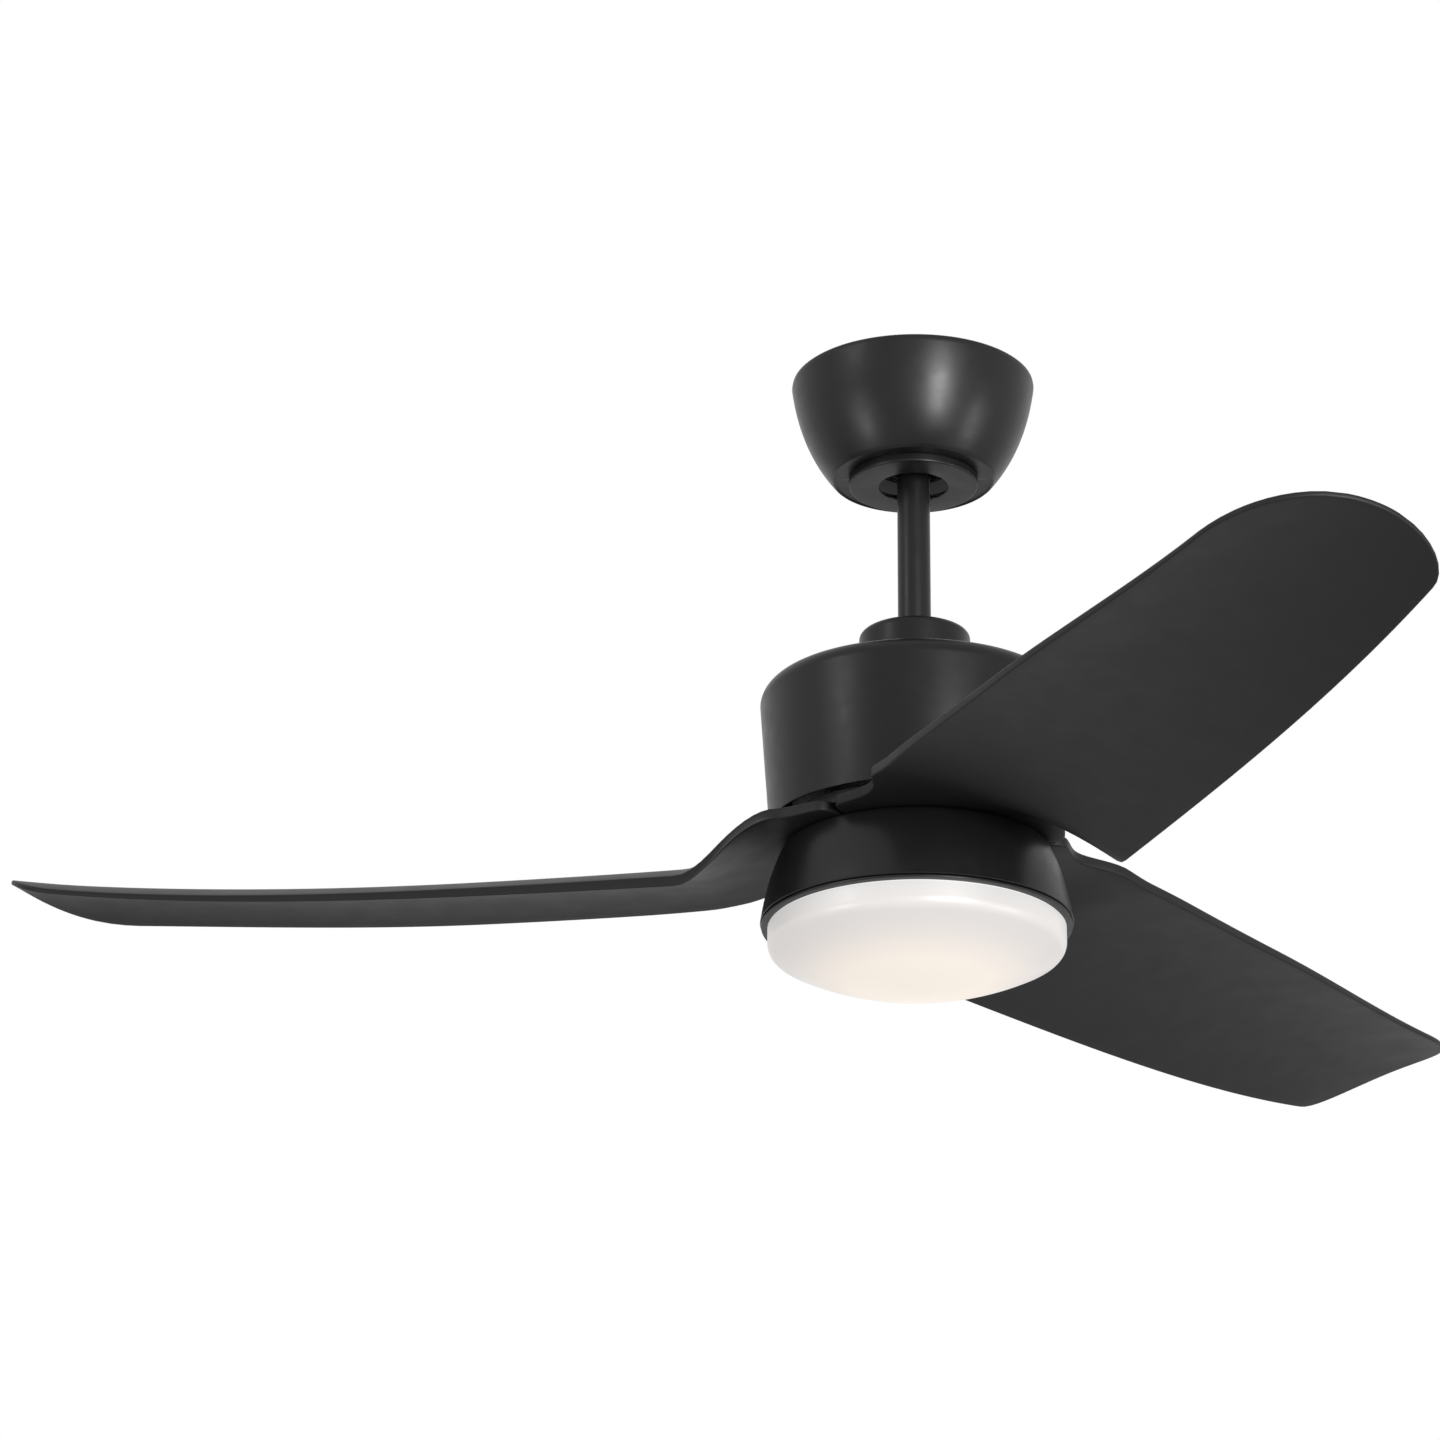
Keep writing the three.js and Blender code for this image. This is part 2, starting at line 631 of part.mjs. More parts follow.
// The cup that turns, closed above by its own cover, with a boss for each bearing.
function rotorCup() {
  const top = motorTopZ - rotorTop - rotorWall - gap;
  const bottom = motorTopZ - rotorBottom;
  const floor = bottom + rotorWall;
  const seat = bearingRadius + gap;
  const bore = shaftRadius + shaftClearance;
  return turned([
    [rotorRadius, bottom], [rotorRadius, top], [rotorRadius - rotorWall, top],
    [rotorRadius - rotorWall, floor], [seat + bearingSeat, floor],
    [seat + bearingSeat, bearingLowerZ], [seat, bearingLowerZ],
    [seat, bottom + bearingShelf], [bore, bottom + bearingShelf], [bore, bottom],
  ]);
}

function rotorCover() {
  const top = motorTopZ - rotorTop;
  const bottom = top - rotorWall;
  const seat = bearingRadius + gap;
  const seatEnd = bearingUpperZ - bearingHeight;
  const bore = shaftRadius + shaftClearance;
  return turned([
    [rotorRadius, bottom], [rotorRadius, top], [bore, top],
    [bore, top - bearingShelf], [seat, top - bearingShelf], [seat, seatEnd],
    [seat + bearingSeat, seatEnd], [seat + bearingSeat, bottom],
  ]);
}

function magnetRing() {
  const [bottom, top] = [motorMiddleZ - magnetHeight / 2, motorMiddleZ + magnetHeight / 2];
  return tubeRing(magnetOuter, magnetOuter - magnetWall, bottom, top);
}

add(hanging, 'yoke', yoke(), 'darkSteel');
add(hanging, 'clevis_pin',
  crossRod(pinRadius, 2 * (yokeRadius + pinOverhang / 2), yokePinZ, 'x'), 'steel');
for (const [name, side] of [['yoke_set_screw_1', 1], ['yoke_set_screw_2', -1]]) {
  const place = side * (rodRadius + gap + yokeScrewLength / 2);
  add(hanging, name,
    crossRod(screwShank, yokeScrewLength, yokePinZ + side * yokeScrewRise, 'y', place), 'zinc');
}
add(hanging, 'coupling_cover', couplingCover(), 'blackMetal');
add(hanging, 'motor_housing', motorHousing(), 'blackMetal');
for (let i = 0; i < 3; i += 1) {
  const piece = add(hanging, `housing_screw_${i + 1}`, screw(housingScrewLength), 'zinc');
  piece.rotation.x = Math.PI;
  piece.position.set(...housingScrewPlace(i), motorTopZ + yokeFlange + 2 * gap);
}
add(hanging, 'stator_core', statorCore(), 'laminations');
add(hanging, 'stator_winding_upper', windingCrown(1), 'copper');
add(hanging, 'stator_winding_lower', windingCrown(-1), 'copper');
add(hanging, 'upper_bearing_inner', bearingInner(bearingUpperZ), 'steel');
add(hanging, 'lower_bearing_inner', bearingInner(bearingLowerZ), 'steel');
add(turning, 'upper_bearing_outer', bearingOuter(bearingUpperZ), 'steel');
add(turning, 'lower_bearing_outer', bearingOuter(bearingLowerZ), 'steel');
add(turning, 'rotor_cup', rotorCup(), 'castAluminium');
add(turning, 'rotor_cover', rotorCover(), 'castAluminium');
add(turning, 'magnet_ring', magnetRing(), 'ferrite');

// ---------------------------------------------------------------- hub and blades

function bladeHubPlate() {
  const top = motorTopZ - rotorBottom - gap;
  const bottom = bladeTopZ + gap;
  let body = turned([
    [hubBore, bottom], [hubRadius, bottom], [hubRadius, bottom + hubPlate],
    [hubBossRadius, bottom + hubPlate], [hubBossRadius, top], [hubBore, top],
  ]);
  for (let blade = 0; blade < 3; blade += 1) {
    for (const [along, across] of bladeScrews) {
      const bore = moved(through(screwHole, bottom), along, across);
      body = body.subtract(bore.rotate([0, 0, 60 + 120 * blade]));
    }
  }
  return body;
}

function smooth(value) {
  const s = THREE.MathUtils.clamp(value, 0, 1);
  return s * s * (3 - 2 * s);
}

const { clamp, lerp, degToRad } = THREE.MathUtils;
const rootAngle = Math.PI / 3;      // each root is a wedge this far to either side
const rootCorner = (bladeHalfWidth + bladeSeam) / Math.tan(rootAngle);
const tipStart = tipRadius - tipLength;

// How much of the blade's width the round tip leaves at a distance from the axis.
function tipShare(x, length, squareness) {
  const beyond = clamp((x - tipRadius + length) / length, 0, 1);
  return (1 - beyond ** squareness) ** (1 / squareness);
}

// The lower of two values, eased where they cross.
function softLower(a, b) {
  const ease = Math.max(rootRound - Math.abs(a - b), 0) / rootRound;
  return Math.min(a, b) - ease ** 2 * rootRound / 4;
}

// How far the two edges lie from the blade's centre line at a distance out from the axis,
// first as the blade would run on without its round tip and its root's wedge, then with them.
function bladeEdges(x) {
  const seam = (x - bladeSeam / 2 / Math.sin(rootAngle)) * Math.tan(rootAngle);
  const waist = bladeWaist * Math.sin(Math.PI * clamp((x - rootCorner) / waistLength, 0, 1)) ** 2;
  const taper = clamp((x - rootCorner) / (tipStart - rootCorner), 0, 1);
  const trail = lerp(bladeHalfWidth, bladeTrailTip, taper) - waist;
  const grown = lerp(bladeHalfWidth, bladeLeadHalf, smooth((x - rootCorner) / bladeLeadGrow));
  const narrowed = smooth((x - leadTaperStart) / (tipStart - leadTaperStart));
  const lead = lerp(grown, bladeLeadTip, narrowed) - waist;
  const leadEnd = tipShare(x, leadTipLength, leadTipSquareness);
  const trailEnd = tipShare(x, tipLength, tipSquareness);
  return {
    full: [-lead, trail],
    cut: [-softLower(lead, seam) * leadEnd, softLower(trail, seam) * trailEnd],
  };
}

// Height of the blade's underside over its root's, falling from leading to trailing edge.
function bladeHeight(x, across, [lead, trailing]) {
  const share = (across - lead) / (trailing - lead);
  const out = clamp((x - bendStart) / (tipRadius - bendStart), 0, 1);
  const trailHeight = -trailDrop + trailRecover * out ** trailRecoverPower;
  const leadHeight = -leadDrop - leadSag * 4 * out * (1 - out);
  const crown = camber * 4 * share * (1 - share);
  return smooth((x - bendStart) / bendLength) * (lerp(leadHeight, trailHeight, share) + crown);
}

function bladeThickness(x) {
  return lerp(bladeHub, bladeTip, clamp((x - bladeThinStart) / bladeThinLength, 0, 1));
}

// Distances out from the axis at which the blade's cross-sections are taken.
function bladeStations() {
  const bendEnd = bendStart + 2.4 * bendLength;
  const spread = (from, to, pitch) => {
    const steps = Math.max(1, Math.round((to - from) / pitch));
    return Array.from({ length: steps }, (_, i) => from + ((to - from) * i) / steps);
  };
  const round = [0, 25, 45, 60, 72, 82].map((angle) => tipStart + tipLength * Math.sin(degToRad(angle)));
  const rounding = tipRadius - leadTipLength;
  return [
    bladeInner, rootCorner - rootRound / 4, ...spread(rootCorner, bendEnd, 17),
    ...spread(bendEnd, rounding, 62), ...spread(rounding, tipStart, 12), ...round,
  ];
}

function blade() {
  const chordSteps = 6;
  const positions = [];
  const index = [];
  const stations = bladeStations();
  const ring = 2 * (chordSteps + 1);
  for (const x of stations) {
    const edges = bladeEdges(x);
    const thickness = bladeThickness(x);
    for (const side of [0, 1]) {
      for (let i = 0; i <= chordSteps; i += 1) {
        const share = side === 0 ? i / chordSteps : 1 - i / chordSteps;
        const across = lerp(edges.cut[0], edges.cut[1], share);
        const base = bladeBottomZ + bladeHeight(x, across, edges.full);
        positions.push(x, across, base + side * thickness);
      }
    }
  }
  for (let s = 0; s + 1 < stations.length; s += 1) {
    for (let i = 0; i < ring; i += 1) {
      const a = s * ring + i;
      const b = s * ring + ((i + 1) % ring);
      index.push(a, b, b + ring, a, b + ring, a + ring);
    }
  }
  for (const [start, flip] of [[0, true], [(stations.length - 1) * ring, false]]) {
    for (let i = 0; i < chordSteps; i += 1) {
      const [a, b] = [start + i, start + i + 1];
      const [c, d] = [start + ring - 2 - i, start + ring - 1 - i];
      if (flip) index.push(a, c, b, a, d, c);
      else index.push(a, b, c, a, c, d);
    }
  }
  const geometry = new THREE.BufferGeometry();
  geometry.setAttribute('position', new THREE.Float32BufferAttribute(positions, 3));
  geometry.setIndex(index);
  let body = solid(geometry);
  for (const [along, across] of bladeScrews) {
    body = body.subtract(moved(through(screwHole, bladeBottomZ), along, across));
  }
  return body;
}

add(turning, 'blade_hub', bladeHubPlate(), 'castAluminium');
for (let i = 0; i < 3; i += 1) {
  const holder = new THREE.Group();
  holder.rotation.z = THREE.MathUtils.degToRad(60 + 120 * i);
  turning.add(holder);
  add(holder, `blade_${i + 1}`, blade(), 'blackPlastic');
  bladeScrews.forEach(([along, across], j) => {
    const name = `blade_screw_${i + 1}${'abc'[j]}`;
    const piece = add(holder, name, screw(bladeHub + hubPlate - 1), 'zinc');
    piece.position.set(along, across, bladeBottomZ - gap);
  });
}

// ---------------------------------------------------------------- light

const shaftBottomZ = nutTopZ - nutHeight - 2;

function motorShaft() {
  return tubeRing(shaftRadius, shaftBore, shaftBottomZ, rodBottomZ - 2 * gap, smallFacets);
}

function fitterScrewPlace(i) {
  return polar(fitterScrewRadius, 30 + 120 * i);
}

function drilled(body) {
  let result = body;
  for (let i = 0; i < 3; i += 1) {
    result = result.subtract(moved(through(screwHole, lightShelfZ), ...fitterScrewPlace(i)));
  }
  return result;
}

function lightFitter() {
  return drilled(tubeRing(fitterRadius, shaftRadius + gap, fitterTopZ - fitterPlate, fitterTopZ));
}

function lightHousing() {
  const side = (inset) => bezier(
    [lightTopRadius - inset, lightTopZ],
    [lightRadius - lightBelly - inset, lightTopZ - lightBellyDepth],
    [lightRadius - inset, lightBottomZ], 5);
  const inner = side(lightWall).reverse().filter(([, z]) => z < lightCeilingZ - 1);
  return drilled(turned([
    [shaftRadius + gap, lightShelfZ], [lightLedgeRadius - 2, lightShelfZ],
    [lightLedgeRadius, lightTopZ - 1], [lightLedgeRadius + 1, lightTopZ],
    ...side(0), ...inner,
    [lightLedgeRadius + 1, lightCeilingZ], [shaftRadius + gap, lightCeilingZ],
  ], largeFacets));
}

// The ring that closes the housing, with the ledges that hold the lens's lugs.
function lightBezel() {
  const inner = neckRadius + lugReach + collarClearance;
  const skirt = inner + bezelHeight;
  const collarTop = bezelTopZ + bezelCollar;
  let body = turned([
    [inner, bezelBottomZ], [bezelRadius - bezelEdge, bezelBottomZ],
    [bezelRadius, bezelBottomZ + bezelEdge], [bezelRadius, bezelTopZ],
    [skirt, bezelTopZ], [skirt, collarTop], [inner, collarTop],
  ], largeFacets);
  for (let i = 0; i < 3; i += 1) {
    const ledge = ringSlice(inner + bezelHeight / 2, neckRadius + 2 * gap,
      bezelBottomZ, bezelBottomZ + tabHeight, 120 * i, tabAngle);
    body = body.add(ledge);
  }
  return body;
}

// A dished bowl: an upright wall, a rounded edge and a dome that meets the edge smoothly.
function lens() {
  const profile = (inset) => {
    const edge = lensEdge - inset;
    const dome = lensDomeRadius - inset;
    const centre = [lensRadius - lensEdge, lensTopZ - lensWallHeight];
    const domeZ = centre[1] + Math.sqrt((dome - edge) ** 2 - centre[0] ** 2);
    const meeting = THREE.MathUtils.radToDeg(Math.asin(centre[0] / (dome - edge))) - 90;
    const points = [
      ...arc(0, domeZ, dome, -90, meeting, 5), ...arc(...centre, edge, meeting, 0, 4).slice(1),
    ];
    points[0][0] = 0;
    return points;
  };
  const neckTop = lensTopZ + neckHeight;
  let body = turned([
    ...profile(0), [lensRadius, lensTopZ - lensBevel], [lensRadius - lensBevel, lensTopZ],
    [neckRadius, lensTopZ], [neckRadius, neckTop], [neckRadius - lensWall, neckTop],
    [neckRadius - lensWall, lensTopZ - lensWall], ...profile(lensWall).reverse(),
  ], largeFacets);
  const lugBottom = bezelBottomZ + tabHeight + gap;
  for (let i = 0; i < 3; i += 1) {
    const lug = ringSlice(neckRadius + lugReach, neckRadius - 1, lugBottom, lugBottom + lugHeight,
      120 * i, lugAngle);
    body = body.add(lug);
  }
  return body;
}

function ledBoard() {
  let body = tubeRing(boardRadius, wireHole + 2, boardTopZ - boardPlate, boardTopZ);
  const circles = [[outerChips, boardRadius - outerChipInset], [innerChips, innerChipRadius]];
  const chipZ = boardTopZ - boardPlate - chipHeight / 2 + 0.1;
  for (const [count, radius] of circles) {
    for (let i = 0; i < count; i += 1) {
      const [x, y] = polar(radius, (360 / count) * i);
      body = body.add(block(chipSize, chipSize, chipHeight, x, y, chipZ));
    }
  }
  return body;
}

function shaftNut() {
  const body = rod(nutRadius, nutTopZ - nutHeight, nutTopZ, 6);
  return body.subtract(through(shaftRadius + gap, nutTopZ, smallFacets));
}

add(hanging, 'motor_shaft', motorShaft(), 'steel');
add(hanging, 'light_fitter', lightFitter(), 'zinc');
add(hanging, 'light_housing', lightHousing(), 'blackMetal');
for (let i = 0; i < 3; i += 1) {
  const piece = add(hanging, `fitter_screw_${i + 1}`, screw(lightWall + fitterPlate + 2), 'zinc');
  piece.position.set(...fitterScrewPlace(i), nutTopZ);
}
add(hanging, 'shaft_nut', shaftNut(), 'zinc');
add(hanging, 'led_driver', block(driverLength, driverWidth, driverHeight,
  0, driverOffset, nutTopZ - driverDrop), 'whitePlastic');
add(hanging, 'led_tray', tubeRing(trayRadius, wireHole, trayTopZ - trayPlate, trayTopZ), 'aluminium');
add(hanging, 'led_board', ledBoard(), 'board');
add(hanging, 'light_bezel', lightBezel(), 'blackMetal');
add(hanging, 'lens', lens(), 'opal');

export default fan;
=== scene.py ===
"""Finishes a three-blade ceiling fan with a light: shells, blades, lens and materials around its frame."""

import json
import math

import bmesh
import bpy
from bpy.props import FloatProperty, FloatVectorProperty, PointerProperty
from mathutils import Matrix, Vector


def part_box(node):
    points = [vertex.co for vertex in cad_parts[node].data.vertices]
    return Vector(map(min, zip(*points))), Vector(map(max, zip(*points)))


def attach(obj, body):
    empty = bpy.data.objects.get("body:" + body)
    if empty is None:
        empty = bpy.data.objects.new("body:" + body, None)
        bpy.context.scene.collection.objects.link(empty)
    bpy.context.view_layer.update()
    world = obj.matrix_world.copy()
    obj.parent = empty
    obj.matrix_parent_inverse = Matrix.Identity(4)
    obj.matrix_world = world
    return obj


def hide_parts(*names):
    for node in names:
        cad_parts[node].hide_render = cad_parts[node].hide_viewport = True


bl_info = {
    "name": "Ceiling Fan Finisher",
    "version": (1, 0, 0),
    "blender": (4, 5, 0),
    "location": "3D View > Sidebar > Fan",
    "description": "Builds the shells, blades, lens and finishes of a ceiling fan around its frame",
    "category": "Object",
}

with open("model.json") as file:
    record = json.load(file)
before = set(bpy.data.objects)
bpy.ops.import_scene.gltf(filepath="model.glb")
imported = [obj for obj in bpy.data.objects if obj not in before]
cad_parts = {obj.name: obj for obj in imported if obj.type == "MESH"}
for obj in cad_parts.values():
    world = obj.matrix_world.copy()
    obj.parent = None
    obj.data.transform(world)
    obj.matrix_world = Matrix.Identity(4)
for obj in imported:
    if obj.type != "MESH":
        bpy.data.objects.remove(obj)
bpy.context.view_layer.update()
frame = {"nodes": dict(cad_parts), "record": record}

MM = 0.001
GAP = 0.3 * MM              # clearance between pieces that touch
SHARP_ANGLE = math.radians(32)
ROUND_SIDES = 160           # sides of the large turned shells
SMALL_SIDES = 48            # sides of screws and bores; the rod and ball have twice as many
DRILL_SIDES = 24            # sides of the screw holes in the blades and the light
LEVEL = 1e-6                # height difference that counts as none
MERGE = 1e-7                # distance within which points are one

SCREW_BORE = 2.3 * MM       # radius of the holes for screws
OVERCUT = 2 * MM            # a bore runs past what it cuts by this or a multiple of it
FINE_EDGE = 0.3 * MM        # rounding of the finest edges
SHEET_EDGE = 0.5 * MM       # rounding of sheet and tube edges
MOST_OF_SIDE = 0.49         # how much of a side one rounding may take
SHARPEST_MITER = 0.5        # limit on how far a corner's rounding is stretched
EDGE_STEPS = 5              # steps in the rounding of a blade's edge
BLADE_GRID = (74, 26)       # rows between a blade's root and its round tip, and columns across it
ROOT_ROWS = 6               # rows in its root
TIP_ANGLES = range(0, 72, 9)    # rows round its tip, in degrees
ROW_CROWDING = 1.35         # above 1, rows lie closer near the root
TIP_ROW = 0.6               # width of the last row, as a share of the row before it
BLADE_WEDGE = math.pi / 3   # half the angle from one blade to the next
EDGE_FROM, EDGE_TO = 0.57, 0.68     # pointiness from which an edge is painted paler, as a highlight together with scuffing, and where it is fully so
PARTING_HEIGHT = 0.35       # of a case's parting line, as a share of the case's height
GROOVE = 0.4                # depth and half width of that line, in millimetres
SENSOR_WIDTH = 36           # of the camera, in millimetres
NEAR, FAR = 0.05, 200       # what the camera sees, in metres

LAMP_TARGET = (0, 0, -0.25)
LAMPS = (                   # name, place, width and height, watts
    ("strip_front", (1.75, -3.6, -0.95), (0.7, 2.2), 300),
    ("strip_right", (3.7, -1.2, -1.7), (0.4, 1.6), 60),
    ("strip_left", (-3.3, -2.0, -1.9), (0.5, 1.6), 60),
    ("key_left", (-3.3, -2.3, 1.0), (0.9, 1.2), 30),
)


# ---- places taken from the frame

def low(node):
    """Height of a node's lowest point."""
    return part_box(node)[0][2]


def high(node):
    """Height of a node's highest point."""
    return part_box(node)[1][2]


def radius(node):
    """Radius of a turned node about the fan's axis."""
    lower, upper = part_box(node)
    return (upper[0] - lower[0]) / 2


def spans(node):
    """Radius, highest and lowest height of a turned node."""
    return radius(node), high(node), low(node)


def box_of(node):
    """Lowest and highest corner of a node's box."""
    lower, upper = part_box(node)
    return Vector(lower), Vector(upper)


def centre(node):
    """Middle of a node's box."""
    lower, upper = box_of(node)
    return (lower + upper) / 2


# ---- sizes and colours a user would change

def length(name, about, value, top=1000):
    """A size. Its value and its limit are given in millimetres."""
    return FloatProperty(name=name, description=about, default=value * MM, min=0.0, max=top * MM,
                         precision=4, unit="LENGTH", subtype="DISTANCE")


def share(name, about, value, top=1.0):
    """A number from nothing up to a limit."""
    return FloatProperty(name=name, description=about, default=value, min=0.0, max=top, subtype="FACTOR")


def rotation(name, about, value):
    """An angle, given in radians."""
    return FloatProperty(name=name, description=about, default=value, subtype="ANGLE")


def colour(name, about, value):
    """A linear colour."""
    return FloatVectorProperty(name=name, description=about, default=value, min=0.0, max=1.0,
                               size=3, subtype="COLOR")


class FinishSettings(bpy.types.PropertyGroup):
    """Colours and gloss of the fan's own finishes."""

    coat: colour("Powder coat", "Colour of the satin black coat on the metal shells", (0.004, 0.004, 0.0041))
    coat_gloss: share("Coat roughness", "Roughness of the satin coat", 0.36)
    coat_grain: length("Coat grain", "Size of the coat's fine orange peel", 0.9, 20)
    blade: colour("Blade plastic", "Colour of the moulded blades", (0.0045, 0.0045, 0.0046))
    blade_gloss: share("Blade roughness", "Roughness of the moulded blades", 0.5)
    blade_grain: length("Blade grain", "Size of the blades' moulded texture", 0.55, 20)
    # How much paler edges are painted: an edge highlight together with scuffing.
    wear: share("Edge wear", "How much paler handled edges are", 0.8)
    opal: colour("Opal", "Colour of the diffusing lens", (0.15, 0.147, 0.144))
    glow: colour("Glow", "Colour of the light in the lens's middle", (0.64, 0.565, 0.49))
    glow_edge: colour("Glow at the edge", "Colour of the light at the lens's edge", (0.42, 0.395, 0.385))
    glow_side: colour("Glow at the side", "Colour of the light in its upright side", (0.40, 0.395, 0.39))
    # A highlight painted into the glow along the lens's upper rim, in place of light reflected off its
    # bevel.
    painted_rim_highlight: colour("Glow at the rim", "Colour of the light at the lens's upper rim", (0.75, 0.75, 0.75))
    glow_power: share("Glow strength", "Strength of the light that the lens gives", 1.0, 5.0)


class CanopySettings(bpy.types.PropertyGroup):
    """Sizes of the canopy and its trim ring."""

    shoulder: length("Shoulder", "Depth of the rounded shoulder under the ceiling", 3)
    rim_inset: length("Rim inset", "How far the rim is rolled in at the ceiling", 1.4)
    floor_radius: length("Floor radius", "Radius where the bowl meets its floor", 59)
    belly: length("Belly", "Pull of the bowl's side, in from its widest", 6)
    belly_depth: length("Belly depth", "Depth at which the side is pulled", 48)
    wall: length("Wall", "Sheet thickness", 1.6)
    lip: length("Lip", "How far the bowl's edge stands below its floor", 1.5)
    hole: length("Hole", "Radius of the hole in the floor", 33.7)
    ring_hole: length("Ring hole", "Radius of the trim ring's hole", 25.5)
    ring_edge: length("Ring edge", "Rounding of the trim ring's edges", 1.3)


class RodSettings(bpy.types.PropertyGroup):
    """Sizes of the hanger ball, the rod and the cover over its coupling."""

    rod_wall: length("Rod wall", "Wall of the rod's tube", 2.2)
    pin_hole: length("Pin hole", "Radius of the holes for the pins", 3.3)
    ball_top: length("Ball top", "Height of the ball's flat top above its centre", 16)
    ball_bottom: length("Ball bottom", "Depth of its flat underside below the centre", 20)
    cover_wall: length("Cover wall", "Wall of the coupling cover", 1.6)
    cover_edge: length("Cover edge", "Rounding of the cover's upper edge", 5)
    cover_gap: length("Cover gap", "Ring left open between cover and rod", 1.6)


class MotorSettings(bpy.types.PropertyGroup):
    """Sizes of the motor housing."""

    wall: length("Wall", "Sheet thickness", 1.6)
    shoulder: length("Shoulder", "Rounding of the upper edge", 13)
    taper: length("Taper", "How much narrower the drum is at its lower edge", 6.8)
    hole: length("Hole", "Radius of the hole in its top", 16.1)
    hem: length("Hem", "Rounding of the rolled lower edge", 0.75)


class BladeSettings(bpy.types.PropertyGroup):
    """Outline, bend and section of one blade."""

    turn: rotation("Turn", "Turn of the blade set at rest", math.radians(-5.8))
    tip_radius: length("Tip radius", "From the axis to the tip", 660.4, 2000)
    inner: length("Inner end", "From the axis to the root's inner end", 34)
    half_width: length("Root half width", "Half width where neighbouring blades meet", 89.2)
    lead_half: length("Leading half width", "Widest half width on the leading side", 97)
    lead_grow: length("Leading growth", "Length over which the leading side widens", 160)
    lead_taper: length("Leading taper", "Distance out where the leading side starts to narrow", 333)
    lead_tip: length("Leading tip", "Leading half width where the round tip starts", 81.8)
    trail_tip: length("Trailing tip", "Trailing half width where the round tip starts", 60.2)
    seam: length("Seam", "Slot between neighbouring roots", 3)
    waist: length("Waist", "How far the edges pull in beyond the slot", 12.7)
    waist_length: length("Waist length", "Length of that pull", 82)
    tip_length: length("Tip length", "Length of the rounded tip on the trailing side", 40.6)
    lead_length: length("Leading tip length", "Length of the rounded tip on the leading side", 75)
    squareness: FloatProperty(name="Leading squareness", description="How square that side is", default=2.2)
    root_round: length("Root rounding", "Length over which the root's corners are rounded", 16)
    trail_drop: length("Trailing drop", "Trailing edge below the root", 50.9)
    trail_recover: length("Trailing recovery", "How much of that the tip wins back", 27.3)
    recover_power: FloatProperty(name="Recovery power", description="How late it wins it back", default=3.7)
    lead_drop: length("Leading drop", "Leading edge below the root", 4.5)
    lead_sag: length("Leading sag", "How much lower it runs halfway out", 7)
    camber: length("Camber", "Upward bow across the blade", 13)
    bend_start: length("Bend start", "Where the blade starts to bend down", 94)
    bend_length: length("Bend length", "Length of that bend", 68)
    root_thickness: length("Root thickness", "Thickness over the hub", 8)
    tip_thickness: length("Tip thickness", "Thickness at the tip", 4)
    thin_start: length("Thinning start", "Where the blade starts to thin", 150)
    thin_length: length("Thinning length", "Length over which it thins", 450)
    edge: length("Edge rounding", "Rounding of the blade's edges", 1.5)
    screw_hole: length("Screw hole", "Radius of the holes for its screws", 2.3)


class LightSettings(bpy.types.PropertyGroup):
    """Sizes of the light's housing, bezel and lens."""

    top_inset: length("Top inset", "How much narrower the housing is at its top", 15.8)
    belly: length("Belly", "Pull of the housing's side, in from its widest", 4.5)
    belly_depth: length("Belly depth", "Depth at which the side is pulled", 23)
    wall: length("Wall", "Sheet thickness", 1.6)
    recess: length("Recess", "Depth of the housing's recessed top", 6)
    ledge: length("Ledge", "Width of the rim around that recess", 6.5)
    shaft_hole: length("Shaft hole", "Radius of the hole for the shaft", 10.3)
    bezel_height: length("Bezel height", "Height of the bezel's visible ring", 1.6)
    bezel_edge: length("Bezel edge", "Rounding of the bezel's edges", 0.5)
    collar: length("Collar", "Wall of the bezel's collar", 1.6)
    collar_gap: length("Collar gap", "Clearance between the lugs and the collar", 1.1)
    lens_wall: length("Lens wall", "Wall of the lens", 2.6)
    lens_side: length("Lens side", "Height of the lens's upright side", 11.6)
    lens_edge: length("Lens edge", "Rounding of the lens's lower edge", 9)
    lens_dome: length("Lens dome", "Radius of the lens's dome", 218)
    lens_bevel: length("Lens bevel", "Bevel of its upper edge", 0.8)
    shoulder: length("Lens shoulder", "From the lens's side in to its neck", 5.5)
    neck: length("Neck height", "Height of the neck inside the bezel", 8.6)
    lug_reach: length("Lug reach", "How far each lug stands out", 2.6)
    lug_height: length("Lug height", "Height of each lug and ledge", 2)
    lug_angle: rotation("Lug angle", "Angle that each lug covers", math.radians(20))
    tab_angle: rotation("Ledge angle", "Angle that each ledge covers", math.radians(44))


class StageSettings(bpy.types.PropertyGroup):
    """The floor, the lights and the camera."""

    floor_drop: length("Floor drop", "Floor below the ceiling", 9000, 20000)
    floor_size: length("Floor size", "Width of the floor", 90000, 100000)
    sky: share("Sky strength", "Strength of the soft white surroundings", 1.0, 5.0)
    focal_length: FloatProperty(name="Focal length", description="Of the camera", default=119.14,
                                unit="CAMERA")
    distance: length("Camera distance", "From the fan's axis", 3200.9, 20000)
    offset: FloatProperty(name="Camera offset", description="Sideways from the axis", default=-0.0227,
                          unit="LENGTH")
    drop: length("Camera drop", "Below the blades' roots", 1157.5, 20000)
    pitch: rotation("Camera pitch", "Upwards", 0.3741)
    yaw: rotation("Camera yaw", "To the right", -0.0369)
    roll: rotation("Camera roll", "About its own axis", 0.0084)


SETTINGS = {
    "fan_finish": FinishSettings,
    "fan_canopy": CanopySettings,
    "fan_rod": RodSettings,
    "fan_motor": MotorSettings,
    "fan_blade": BladeSettings,
    "fan_light": LightSettings,
    "fan_stage": StageSettings,
}


# ---- curves and meshes

def clamp(value):
    """Keeps a number from 0 to 1."""
    return min(max(value, 0.0), 1.0)


def smooth(value):
    """An S-shaped step from 0 to 1."""
    t = clamp(value)
    return t * t * (3 - 2 * t)


